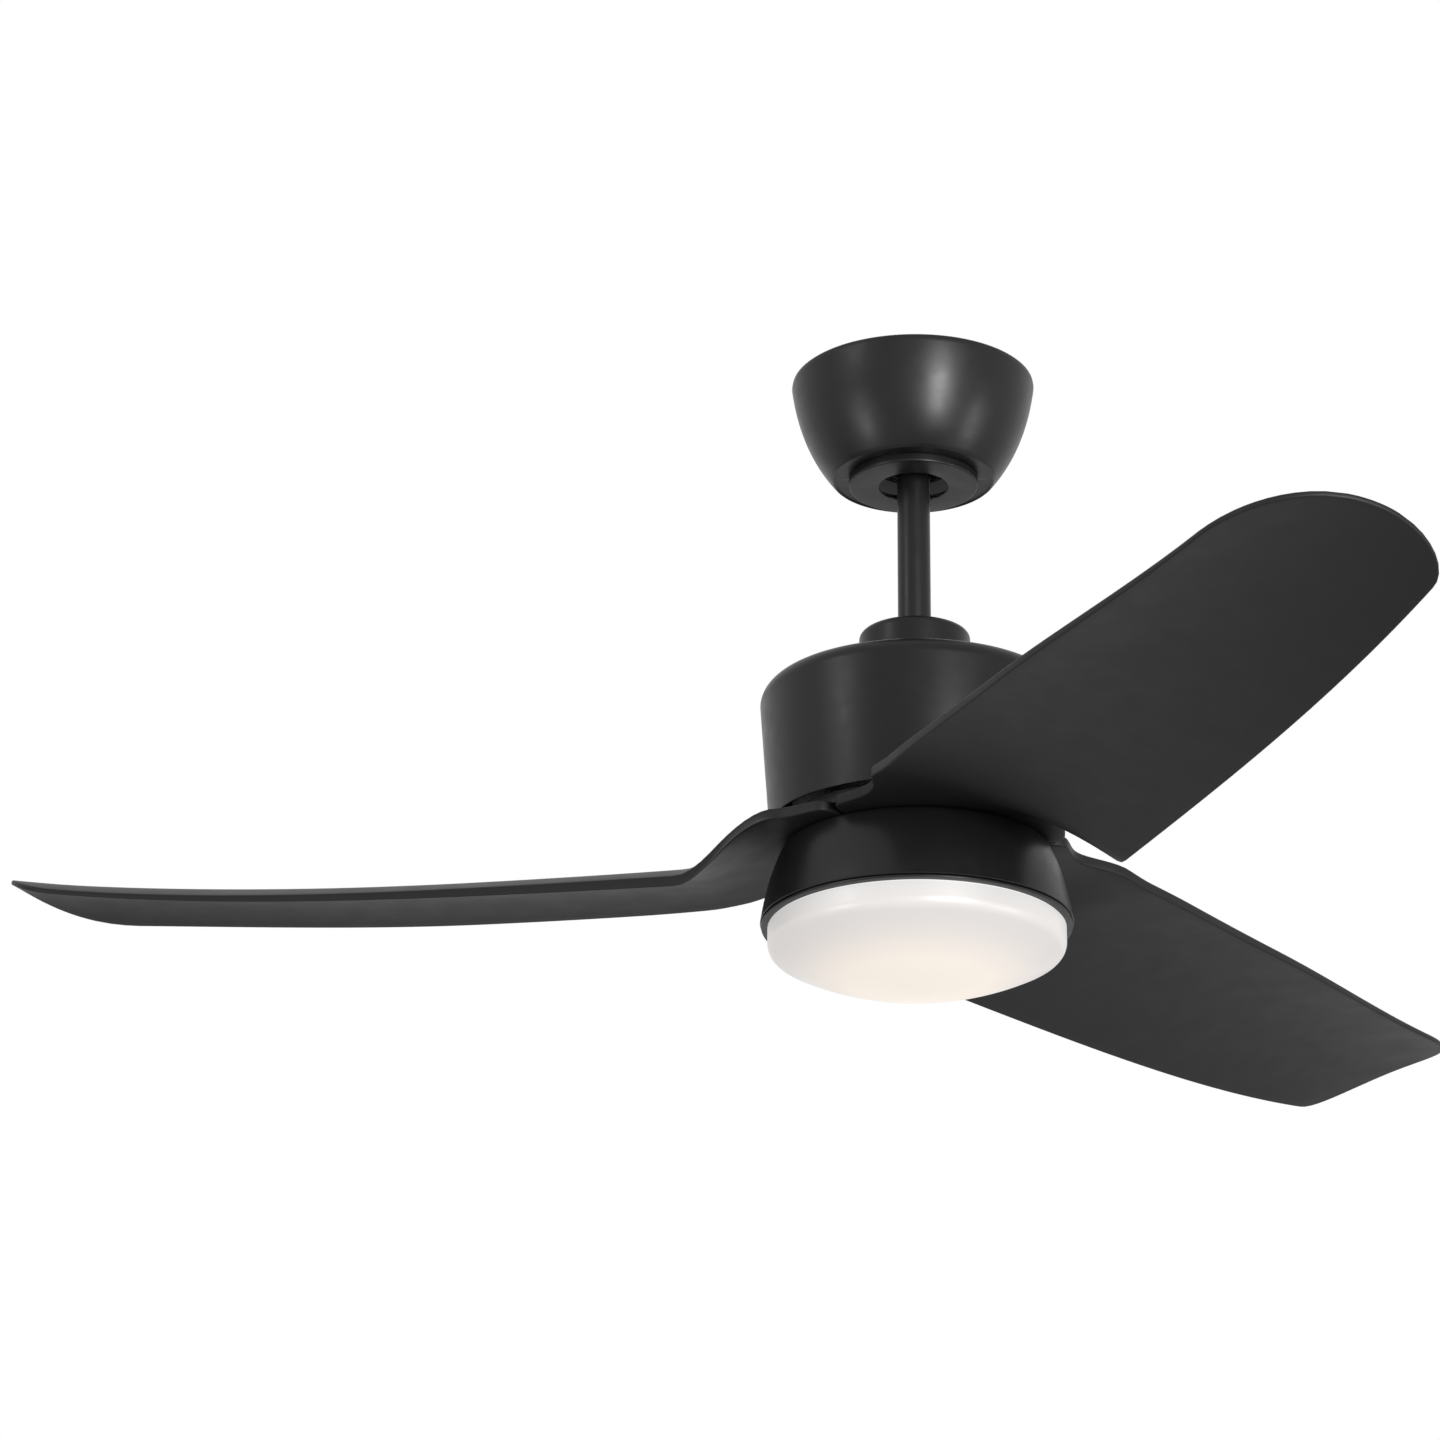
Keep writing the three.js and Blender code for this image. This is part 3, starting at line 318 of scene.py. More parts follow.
def lerp(a, b, t):
    """A value between two."""
    return a + (b - a) * t


def arc(middle, reach, start, end, steps):
    """Points on an arc in a profile, its angles in degrees."""
    points = []
    for i in range(steps + 1):
        angle = math.radians(lerp(start, end, i / steps))
        points.append((middle[0] + reach * math.cos(angle), middle[1] + reach * math.sin(angle)))
    return points


def curve(start, control, end, steps):
    """Points on a quadratic curve in a profile."""
    points = []
    for i in range(steps + 1):
        t = i / steps
        blend = ((1 - t) ** 2, 2 * t * (1 - t), t * t)
        points.append(tuple(blend[0] * start[k] + blend[1] * control[k] + blend[2] * end[k] for k in (0, 1)))
    return points


def eased(corners, steps=4):
    """A closed profile whose corners are rounded: each corner is radius, height and rounding."""
    points = []
    for i, (r, z, rounding) in enumerate(corners):
        here = Vector((r, z))
        back = Vector(corners[i - 1][:2]) - here
        ahead = Vector(corners[(i + 1) % len(corners)][:2]) - here
        if rounding <= 0 or back.length == 0 or ahead.length == 0:
            points.append((r, z))
            continue
        half = back.angle(ahead) / 2
        reach = min(rounding / math.tan(half), back.length * MOST_OF_SIDE,
                    ahead.length * MOST_OF_SIDE)
        start, end = here + back.normalized() * reach, here + ahead.normalized() * reach
        points += curve(start, here, end, steps)
    return points


def new_piece(name, mesh, body, slot, *replaced):
    """Puts a finished mesh in the scene, on its body, with its slot's finish, in place of frame nodes."""
    mesh.validate()
    piece = bpy.data.objects.new(name, mesh)
    bpy.context.scene.collection.objects.link(piece)
    mesh.materials.append(material_of(slot))
    mesh.shade_smooth()
    mesh.set_sharp_from_angle(angle=SHARP_ANGLE)
    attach(piece, body)
    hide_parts(*replaced)


def mesh_of(name, points, faces):
    """A mesh with its faces pointing out."""
    mesh = bpy.data.meshes.new(name)
    mesh.from_pydata(points, [], faces)
    work = bmesh.new()
    work.from_mesh(mesh)
    bmesh.ops.remove_doubles(work, verts=work.verts, dist=MERGE)
    bmesh.ops.recalc_face_normals(work, faces=work.faces)
    work.to_mesh(mesh)
    work.free()
    return mesh


def turned(name, profile, sides=ROUND_SIDES):
    """Turns a profile about the fan's axis. It is a closed loop, or it starts and ends on the axis."""
    open_ended = profile[0][0] == 0 and profile[-1][0] == 0
    points, rings = [], []
    for r, z in profile:
        if r == 0:
            rings.append([len(points)] * sides)
            points.append((0.0, 0.0, z))
            continue
        rings.append(list(range(len(points), len(points) + sides)))
        for i in range(sides):
            angle = 2 * math.pi * i / sides
            points.append((r * math.cos(angle), r * math.sin(angle), z))
    pairs = list(zip(rings, rings[1:]))
    if not open_ended:
        pairs.append((rings[-1], rings[0]))
    faces = []
    for a, b in pairs:
        for i in range(sides):
            j = (i + 1) % sides
            corners = [a[i], a[j], b[j], b[i]]
            face = [corner for k, corner in enumerate(corners) if corner != corners[k - 1]]
            if len(face) > 2:
                faces.append(face)
    return mesh_of(name, points, faces)


def ring_slice(outer, inner, bottom, height, middle, spread, steps=12):
    """A slice of a flat ring, centred on an angle."""
    top = bottom + height
    points, faces = [], []
    for i in range(steps + 1):
        angle = middle + spread * (i / steps - 0.5)
        for r, z in ((inner, bottom), (outer, bottom), (outer, top), (inner, top)):
            points.append((r * math.cos(angle), r * math.sin(angle), z))
    for i in range(steps):
        for k in range(4):
            a, b = 4 * i + k, 4 * i + (k + 1) % 4
            faces.append((a, b, b + 4, a + 4))
    faces += [(0, 1, 2, 3), tuple(4 * steps + k for k in range(4))]
    return mesh_of("slice", points, faces)


def three_slices(outer, inner, bottom, height, spread):
    """Three slices of a flat ring, evenly spaced."""
    return [ring_slice(outer, inner, bottom, height, math.radians(120 * i), spread) for i in range(3)]


def bore(reach, start, end, sides=SMALL_SIDES):
    """A plain round bar between two points, used to cut a hole."""
    start, end = Vector(start), Vector(end)
    along = end - start
    mesh = turned("bore", [(0, 0), (reach, 0), (reach, along.length), (0, along.length)], sides)
    mesh.transform(Matrix.Translation(start) @ along.to_track_quat("Z", "Y").to_matrix().to_4x4())
    return mesh


def screw_bores(nodes, bottom, top, sides=SMALL_SIDES, reach=SCREW_BORE):
    """Upright bores where screws stand."""
    places = [centre(node) for node in nodes]
    return [bore(reach, (x, y, bottom), (x, y, top), sides) for x, y, _ in places]


def carved(mesh, cutters, join=False):
    """Cuts closed meshes out of another one, or joins them to it, and gives the result."""
    scene = bpy.context.scene
    body = bpy.data.objects.new("work", mesh)
    scene.collection.objects.link(body)
    tools = []
    for cutter in cutters:
        tool = bpy.data.objects.new("tool", cutter)
        scene.collection.objects.link(tool)
        tools.append(tool)
        cut = body.modifiers.new("cut", "BOOLEAN")
        cut.operation = "UNION" if join else "DIFFERENCE"
        cut.solver = "EXACT"
        cut.object = tool
    bpy.context.view_layer.update()
    result = bpy.data.meshes.new_from_object(body.evaluated_get(bpy.context.evaluated_depsgraph_get()))
    result.name = mesh.name
    for spare in [body, *tools]:
        old = spare.data
        bpy.data.objects.remove(spare)
        bpy.data.meshes.remove(old)
    return result


# ---- finishes

class Finish:
    """A material in the making: one principled shader and the nodes that feed it."""

    def __init__(self, name):
        self.material = bpy.data.materials.new(name)
        self.material.use_nodes = True
        self.tree = self.material.node_tree
        self.shader = self.tree.nodes["Principled BSDF"]
        self.place = self.tree.nodes.new("ShaderNodeTexCoord")

    def node(self, kind, **values):
        """Adds a node and sets its own settings and its sockets."""
        made = self.tree.nodes.new(kind)
        for key, value in values.items():
            if hasattr(made, key):
                setattr(made, key, value)
            else:
                made.inputs[key.replace("_", " ").title()].default_value = value
        return made

    def link(self, source, target):
        """Joins two sockets."""
        self.tree.links.new(source, target)

    def noise(self, size, detail=3.0, stretch=(1, 1, 1)):
        """Cloudy noise whose features have a given size in metres."""
        mapping = self.node("ShaderNodeMapping")
        mapping.inputs["Scale"].default_value = stretch
        self.link(self.place.outputs["Object"], mapping.inputs["Vector"])
        cloud = self.node("ShaderNodeTexNoise", Scale=1 / size, Detail=detail)
        self.link(mapping.outputs["Vector"], cloud.inputs["Vector"])
        return cloud.outputs["Fac"]

    def ranged(self, source, start, end, low_in=0.3, high_in=0.7):
        """Maps a varying number to a range."""
        spread = self.node("ShaderNodeMapRange")
        ends = {"From Min": low_in, "From Max": high_in, "To Min": start, "To Max": end}
        for socket, value in ends.items():
            spread.inputs[socket].default_value = value
        self.link(source, spread.inputs["Value"])
        return spread.outputs["Result"]

    def mixed(self, factor, first, second):
        """Mixes two colours, either of which may itself vary, by a varying number."""
        mix = self.node("ShaderNodeMix", data_type="RGBA")
        colours = [s for s in mix.inputs if s.type == "RGBA"]
        for socket, value in zip(colours, (first, second)):
            if isinstance(value, bpy.types.NodeSocket):
                self.link(value, socket)
            else:
                socket.default_value = (*value, 1)
        self.link(factor, mix.inputs["Factor"])
        return [s for s in mix.outputs if s.type == "RGBA"][0]

    def mottled(self, size, detail, base, darker):
        """A colour that drifts in clouds towards a darker one."""
        clouds = self.ranged(self.noise(size, detail), 0, 1)
        return self.mixed(clouds, base, tuple(c * darker for c in base))

    def raised(self, height, strength, depth, under=None):
        """Raises the surface by a varying height."""
        bump = self.node("ShaderNodeBump", Strength=strength, Distance=depth)
        self.link(height, bump.inputs["Height"])
        if under is not None:
            self.link(under, bump.inputs["Normal"])
        return bump.outputs["Normal"]

    def edges(self, amount):
        """A number that is high on raised edges, where a paler colour is painted as edge highlight together
        with scuffing.
        """
        shape = self.node("ShaderNodeNewGeometry")
        edge_patchiness = self.noise(9 * MM, 6)
        # Sharp edges get a paler colour: a painted edge highlight together with scuffing.
        sharp = self.ranged(shape.outputs["Pointiness"], 0, amount, EDGE_FROM, EDGE_TO)
        wear_and_highlight_mask = self.node("ShaderNodeMath", operation="MULTIPLY")
        self.link(sharp, wear_and_highlight_mask.inputs[0])
        self.link(self.ranged(edge_patchiness, 0.2, 1.0), wear_and_highlight_mask.inputs[1])
        return wear_and_highlight_mask.outputs["Value"]

    def finish(self, base=None, roughness=None, normal=None, **uniform):
        """Feeds the shader and gives the material."""
        for socket, value in (("Base Color", base), ("Roughness", roughness), ("Normal", normal)):
            if value is not None:
                self.link(value, self.shader.inputs[socket])
        for key, value in uniform.items():
            self.shader.inputs[key.replace("_", " ")].default_value = value
        return self.material


def satin_coat(made):
    """Satin black powder coat: orange peel, faint gloss drift and slightly paler edges, painted as edge
    highlight together with scuffing.
    """
    look = bpy.context.scene.fan_finish
    base = tuple(look.coat)
    # Colour of the painted edge highlight, which also stands for scuffing.
    pale = tuple(min(1.0, c * 24) for c in base)
    peel = made.raised(made.noise(look.coat_grain, 2), 0.22, 0.02 * MM)
    drift = made.raised(made.noise(38 * MM, 2), 0.06, 0.1 * MM, peel)
    gloss = made.ranged(made.noise(14 * MM, 5), look.coat_gloss - 0.03, look.coat_gloss + 0.04)
    return made.finish(made.mixed(made.edges(look.wear), base, pale), gloss, drift, Specular_IOR_Level=0.2)


def moulded_blade(made):
    """Matte black moulded plastic: fine grain, faint flow marks along the blade and paler edges, painted as
    edge highlight together with scuffing.
    """
    look = bpy.context.scene.fan_finish
    base = tuple(look.blade)
    # Colour of the painted edge highlight, which also stands for scuffing.
    pale = tuple(min(1.0, c * 28) for c in base)
    grain = made.raised(made.noise(look.blade_grain, 3), 0.28, 0.03 * MM)
    flow = made.raised(made.noise(90 * MM, 1), 0.05, 0.1 * MM, grain)
    gloss = made.ranged(made.noise(24 * MM, 5), look.blade_gloss - 0.02, look.blade_gloss + 0.03)
    return made.finish(made.mixed(made.edges(look.wear), base, pale), gloss, flow, Specular_IOR_Level=0.15)


def opal_lens(made):
    """Opal diffusing plastic, lit from inside: warm and bright in the middle, cooler at its side, with a
    highlight painted into the glow along its upper rim.
    """
    look = bpy.context.scene.fan_finish
    split = made.node("ShaderNodeSeparateXYZ")
    made.link(made.place.outputs["Object"], split.inputs["Vector"])
    flat = made.node("ShaderNodeCombineXYZ")
    made.link(split.outputs["X"], flat.inputs["X"])
    made.link(split.outputs["Y"], flat.inputs["Y"])
    reach = made.node("ShaderNodeVectorMath", operation="LENGTH")
    made.link(flat.outputs["Vector"], reach.inputs["Vector"])
    spread = made.node("ShaderNodeMapRange", interpolation_type="SMOOTHSTEP")
    spread.inputs["From Min"].default_value = radius("lens") * 0.42
    spread.inputs["From Max"].default_value = radius("lens") * 0.97
    made.link(reach.outputs["Value"], spread.inputs["Value"])
    warmth = made.mixed(spread.outputs["Result"], tuple(look.glow), tuple(look.glow_edge))
    rim = low("light_bezel") - GAP
    side = made.ranged(split.outputs["Z"], 0, 1, rim - 12 * MM, rim - 4 * MM)
    # Painted highlight: a thin band of brighter glow at the upper rim stands in for light reflected off its
    # bevel.
    edge = made.ranged(split.outputs["Z"], 0, 1, rim - 1.3 * MM, rim - 0.5 * MM)
    upper = made.mixed(side, warmth, tuple(look.glow_side))
    made.link(made.mixed(edge, upper, tuple(look.painted_rim_highlight)), made.shader.inputs["Emission Color"])
    haze = made.mottled(18 * MM, 4, tuple(look.opal), 0.985)
    skin = made.raised(made.noise(1.4 * MM, 2), 0.06, 0.02 * MM)
    gloss = made.ranged(made.noise(30 * MM, 4), 0.38, 0.46)
    return made.finish(haze, gloss, skin, Emission_Strength=look.glow_power, IOR=1.49)


def metal(made, base, roughness, scale, strength=0.25, metallic=1.0, brushed=(1, 1, 1)):
    """Bare or plated metal: two tones, drifting gloss and a fine surface."""
    tones = made.mottled(6 * scale, 4, base, 0.82)
    skin = made.raised(made.noise(scale, 4, brushed), strength, 0.04 * MM)
    gloss = made.ranged(made.noise(3 * scale, 4, brushed), roughness - 0.08, roughness + 0.1)
    return made.finish(tones, gloss, skin, Metallic=metallic)


def plastic(made, base, roughness, scale, strength=0.3, fade=0.9):
    """Moulded plastic: fine grain and faint tone changes."""
    tones = made.mottled(20 * scale, 3, base, fade)
    skin = made.raised(made.noise(scale, 3), strength, 0.04 * MM)
    gloss = made.ranged(made.noise(12 * scale, 4), roughness - 0.05, roughness + 0.08)
    return made.finish(tones, gloss, skin)


def layered(made, wave, first, second, relief, grain, gloss):
    """Metal in layers: turns of enamelled wire, or thin stamped sheets in a stack."""
    layers = made.node("ShaderNodeTexWave", **wave)
    made.link(made.place.outputs["Object"], layers.inputs["Vector"])
    tones = made.mixed(layers.outputs["Fac"], first, second)
    surface = made.raised(layers.outputs["Fac"], *relief)
    return made.finish(tones, made.ranged(made.noise(grain), *gloss), surface, Metallic=0.9)


TURNS = {"wave_type": "RINGS", "rings_direction": "Z", "Scale": 160.0, "Distortion": 0.6}
SHEETS = {"wave_type": "BANDS", "bands_direction": "Z", "Scale": 320.0}

# Each slot's material name, the function that makes it, and that function's values.
SLOT_FINISHES = {
    "zinc": ("zinc_plate", metal, (0.52, 0.53, 0.55), 0.36, 5 * MM),
    "black_metal": ("satin_coat", satin_coat),
    "black_blade": ("moulded_blade", moulded_blade),
    "dark_steel": ("black_casting", metal, (0.022, 0.022, 0.024), 0.5, 1.6 * MM, 0.25, 0.6),
    "cast_aluminium": ("cast_aluminium", metal, (0.42, 0.43, 0.44), 0.48, 1.8 * MM, 0.4),
    "black_plastic": ("black_plastic", plastic, (0.02, 0.02, 0.021), 0.55, 0.8 * MM),
    "nylon": ("black_nylon", plastic, (0.03, 0.03, 0.031), 0.6, 1.2 * MM),
    "steel": ("ground_steel", metal, (0.48, 0.49, 0.5), 0.26, 1.2 * MM, 0.25, 1.0, (1, 1, 14)),
    "laminations": ("laminations", layered, SHEETS, (0.10, 0.105, 0.115), (0.34, 0.35, 0.37),
                    (0.7, 0.2 * MM), 3 * MM, (0.35, 0.55)),
    "copper": ("windings", layered, TURNS, (0.30, 0.10, 0.035), (0.62, 0.27, 0.11),
               (0.8, 0.3 * MM), 4 * MM, (0.28, 0.42)),
    "magnet": ("ferrite", plastic, (0.035, 0.035, 0.038), 0.75, 0.9 * MM, 0.5),
    "white_plastic": ("white_plastic", plastic, (0.72, 0.72, 0.70), 0.48, 0.9 * MM),
    "aluminium": ("mill_aluminium", metal, (0.66, 0.67, 0.68), 0.34, 1.5 * MM, 0.25, 1.0, (18, 1, 1)),
    "board": ("solder_mask", plastic, (0.78, 0.78, 0.74), 0.4, 1.4 * MM, 0.12),
    "opal": ("opal_lens", opal_lens),
}

# Castings that show in the gap above the blades are painted like the rest of what shows.
PAINTED = {"blade_hub": "dark_steel", "rotor_cover": "dark_steel"}


def material_of(slot):
    """The finish of a slot, made when it is first asked for."""
    name, recipe, *values = SLOT_FINISHES[slot]
    return bpy.data.materials.get(name) or recipe(Finish(name), *values)


# ---- operators, one for each piece or group

class FAN_OT_plain_finishes(bpy.types.Operator):
    """Gives every carried-over piece of the frame its own finish"""

    bl_idname = "fan.plain_finishes"
    bl_label = "Frame Finishes"

    def execute(self, context):
        for row in frame["record"]["subparts"]:
            mesh = frame["nodes"][row["node"]].data
            mesh.materials.clear()
            slot = PAINTED.get(row["node"], row["material_slot"])
            mesh.materials.append(material_of(slot))
        return {"FINISHED"}


class FAN_OT_canopy(bpy.types.Operator):
    """Builds the bowl that covers the ceiling bracket"""

    bl_idname = "fan.canopy"
    bl_label = "Canopy"

    def execute(self, context):
        s = context.scene.fan_canopy
        wide, top, bottom = spans("canopy")
        floor = bottom + s.lip
        lid = floor + s.wall
        rolled_out, rolled_down = s.rim_inset * 0.72, s.shoulder * 0.3

        def side(inset):
            return curve((wide - inset, top - s.shoulder), (wide - s.belly - inset, top - s.belly_depth),
                         (s.floor_radius - inset, bottom), 40)

        rim = wide - s.rim_inset
        outer = [(rim, top), (rim + rolled_out, top - rolled_down), *side(0)]
        lip = eased([(s.floor_radius + 2 * MM, bottom + 4 * MM, 0), (s.floor_radius, bottom, 0.9 * MM),
                     (s.floor_radius - s.lip, floor, SHEET_EDGE), (s.hole, floor, SHEET_EDGE),
                     (s.hole, lid, 0.4 * MM), (s.floor_radius - s.lip - s.wall, lid, 0),
                     (s.floor_radius, lid, 0)])[1:-1]
        inner = [point for point in reversed(side(s.wall)) if point[1] > lid + 1 * MM]
        profile = [*outer[:-1], *lip, *inner, (rim - s.wall, top)]
        holes = screw_bores(("canopy_screw_1", "canopy_screw_2"), bottom - OVERCUT, floor + 2 * OVERCUT)
        mesh = carved(turned("canopy_shell", profile), holes)
        new_piece("canopy_shell", mesh, "ceiling_side", "black_metal", "canopy")
        return {"FINISHED"}


class FAN_OT_trim_ring(bpy.types.Operator):
    """Builds the ring that trims the canopy's lower hole"""

    bl_idname = "fan.trim_ring"
    bl_label = "Trim Ring"

    def execute(self, context):
        s = context.scene.fan_canopy
        wide, top, bottom = spans("canopy_trim_ring")
        inside, floor = wide - s.wall, bottom + s.wall
        profile = eased([
            (s.ring_hole, bottom, s.ring_edge * 0.6), (wide, bottom, s.ring_edge), (wide, top, FINE_EDGE),
            (inside, top, FINE_EDGE), (inside, floor, 0.8 * MM), (s.ring_hole, floor, SHEET_EDGE),
        ], 6)
        mesh = turned("trim_ring", profile)
        new_piece("trim_ring", mesh, "ceiling_side", "black_metal", "canopy_trim_ring")
        return {"FINISHED"}


class FAN_OT_hanger_ball(bpy.types.Operator):
    """Builds the ball that the rod hangs by"""

    bl_idname = "fan.hanger_ball"
    bl_label = "Hanger Ball"

    def execute(self, context):
        s = context.scene.fan_rod
        reach, hole = radius("hanger_ball"), radius("downrod") + GAP
        middle = high("hanger_ball") - s.ball_top
        lower = -math.degrees(math.asin(s.ball_bottom / reach))
        upper = math.degrees(math.asin(s.ball_top / reach))
        profile = [(hole, middle - s.ball_bottom), *arc((0, middle), reach, lower, upper, 28),
                   (hole, middle + s.ball_top)]
        pin_z = centre("hanger_pin")[2]
        cutters = [
            bore(s.pin_hole, (-reach, 0, pin_z), (reach, 0, pin_z)),
            bore(SCREW_BORE, (0, 0, middle), (0, reach, middle)),
        ]
        mesh = carved(turned("ball", profile, SMALL_SIDES * 2), cutters)
        new_piece("ball", mesh, "hanging", "black_plastic", "hanger_ball")
        return {"FINISHED"}


class FAN_OT_downrod(bpy.types.Operator):
    """Builds the tube that the fan hangs on"""

    bl_idname = "fan.downrod"
    bl_label = "Downrod"

    def execute(self, context):
        s = context.scene.fan_rod
        wide, top, bottom = spans("downrod")
        inside = wide - s.rod_wall
        corners = ((wide, bottom), (wide, top), (inside, top), (inside, bottom))
        profile = eased([(*corner, SHEET_EDGE) for corner in corners])
        heights = [centre(name)[2] for name in ("hanger_pin", "clevis_pin")]
        cutters = [bore(s.pin_hole, (-2 * wide, 0, z), (2 * wide, 0, z)) for z in heights]
        mesh = carved(turned("rod_tube", profile, SMALL_SIDES * 2), cutters)
        new_piece("rod_tube", mesh, "hanging", "black_metal", "downrod")
        return {"FINISHED"}


class FAN_OT_coupling_cover(bpy.types.Operator):
    """Builds the cup over the rod's coupling"""

    bl_idname = "fan.coupling_cover"
    bl_label = "Coupling Cover"

    def execute(self, context):
        s = context.scene.fan_rod
        wide, top, bottom = spans("coupling_cover")
        hole, wall = radius("downrod") + s.cover_gap, s.cover_wall
        edge = (wide - s.cover_edge, top - s.cover_edge)
        profile = [
            (hole, top - SHEET_EDGE), (hole + SHEET_EDGE, top), *arc(edge, s.cover_edge, 90, 0, 12),
            (wide, bottom + SHEET_EDGE), (wide - SHEET_EDGE, bottom), (wide - wall, bottom),
            *arc(edge, s.cover_edge - wall, 0, 90, 12), (hole, top - wall),
        ]
        mesh = turned("cover_cup", profile)
        new_piece("cover_cup", mesh, "hanging", "black_metal", "coupling_cover")
        return {"FINISHED"}


class FAN_OT_motor_housing(bpy.types.Operator):
    """Builds the drum around the motor"""

    bl_idname = "fan.motor_housing"
    bl_label = "Motor Housing"

    def execute(self, context):
        s = context.scene.fan_motor
        wide, top, bottom = spans("motor_housing")
        foot = wide - s.taper
        edge = (wide - s.shoulder, top - s.shoulder)
        hem = eased([(wide, top - s.shoulder, 0), (foot, bottom, s.hem), (foot - s.wall, bottom, s.hem),
                     (wide - s.wall, top - s.shoulder, 0)], 6)[1:-1]
        profile = [(s.hole, top), *arc(edge, s.shoulder, 90, 0, 20), *hem,
                   *arc(edge, s.shoulder - s.wall, 0, 90, 20), (s.hole, top - s.wall)]
        holes = screw_bores([f"housing_screw_{i}" for i in (1, 2, 3)], top - 4 * OVERCUT, top + OVERCUT)
        mesh = carved(turned("motor_drum", profile), holes)
        new_piece("motor_drum", mesh, "hanging", "black_metal", "motor_housing")
        return {"FINISHED"}


def rounded(part, squareness):
    """How much is left at a part of a rounded end's length. It is an ellipse at squareness 2."""
    return (1 - part ** squareness) ** (1 / squareness)


def tip_share(s, x, reach, squareness):
    """How much of a blade's width its round tip leaves at a distance from the axis."""
    return rounded(clamp((x - s.tip_radius + reach) / reach), squareness)


def eased_lower(a, b, ease):
    """The lower of two values, eased where they cross."""
    near = max(ease - abs(a - b), 0) / ease
    return min(a, b) - near ** 2 * ease / 4


def blade_marks(s):
    """Where neighbouring roots part and where the trailing side's round tip starts, from the axis."""
    return (s.half_width + s.seam) / math.tan(BLADE_WEDGE), s.tip_radius - s.tip_length


def blade_edges(s, x):
    """How far a blade's edges lie from its centre line: as they would run on, and as they are cut."""
    corner, tip_start = blade_marks(s)
    seam = (x - s.seam / 2 / math.sin(BLADE_WEDGE)) * math.tan(BLADE_WEDGE)
    waist = s.waist * math.sin(math.pi * clamp((x - corner) / s.waist_length)) ** 2
    trail = lerp(s.half_width, s.trail_tip, clamp((x - corner) / (tip_start - corner))) - waist
    grown = lerp(s.half_width, s.lead_half, smooth((x - corner) / s.lead_grow))
    lead = lerp(grown, s.lead_tip, smooth((x - s.lead_taper) / (tip_start - s.lead_taper))) - waist
    lead_end = tip_share(s, x, s.lead_length, s.squareness)
    trail_end = tip_share(s, x, s.tip_length, 2)
    return (-lead, trail), (-eased_lower(lead, seam, s.root_round) * lead_end,
                            eased_lower(trail, seam, s.root_round) * trail_end)


def blade_height(s, x, across):
    """Height of a blade's underside over its root's."""
    (lead, trail), _ = blade_edges(s, x)
    part = (across - lead) / (trail - lead)
    out = clamp((x - s.bend_start) / (s.tip_radius - s.bend_start))
    trail_height = -s.trail_drop + s.trail_recover * out ** s.recover_power
    lead_height = -s.lead_drop - s.lead_sag * 4 * out * (1 - out)
    crown = s.camber * 4 * part * (1 - part)
    return smooth((x - s.bend_start) / s.bend_length) * (lerp(lead_height, trail_height, part) + crown)


def blade_plan(s, rows, columns):
    """A grid of places over the blade's outline. Its last row follows the round tip."""
    corner, tip_start = blade_marks(s)
    stations = [lerp(s.inner, corner, i / ROOT_ROWS) for i in range(ROOT_ROWS)]
    stations += [corner + (tip_start - corner) * (i / rows) ** ROW_CROWDING for i in range(rows)]
    stations += [tip_start + s.tip_length * math.sin(math.radians(a)) for a in TIP_ANGLES]
    grid = []
    for x in stations:
        _, (lead, trail) = blade_edges(s, x)
        grid.append([Vector((x, lerp(lead, trail, j / columns))) for j in range(columns + 1)])
    lead, trail = grid[-1][0].y, grid[-1][-1].y
    tip = []
    for j in range(columns + 1):
        across = lerp(lead, trail, j / columns) * TIP_ROW
        if across < 0:
            reach, squareness, full = s.lead_length, s.squareness, s.lead_tip
        else:
            reach, squareness, full = s.tip_length, 2, s.trail_tip
        out = rounded(abs(across) / full, squareness)
        tip.append(Vector((s.tip_radius - reach + reach * out, across)))
    return [*grid, tip]


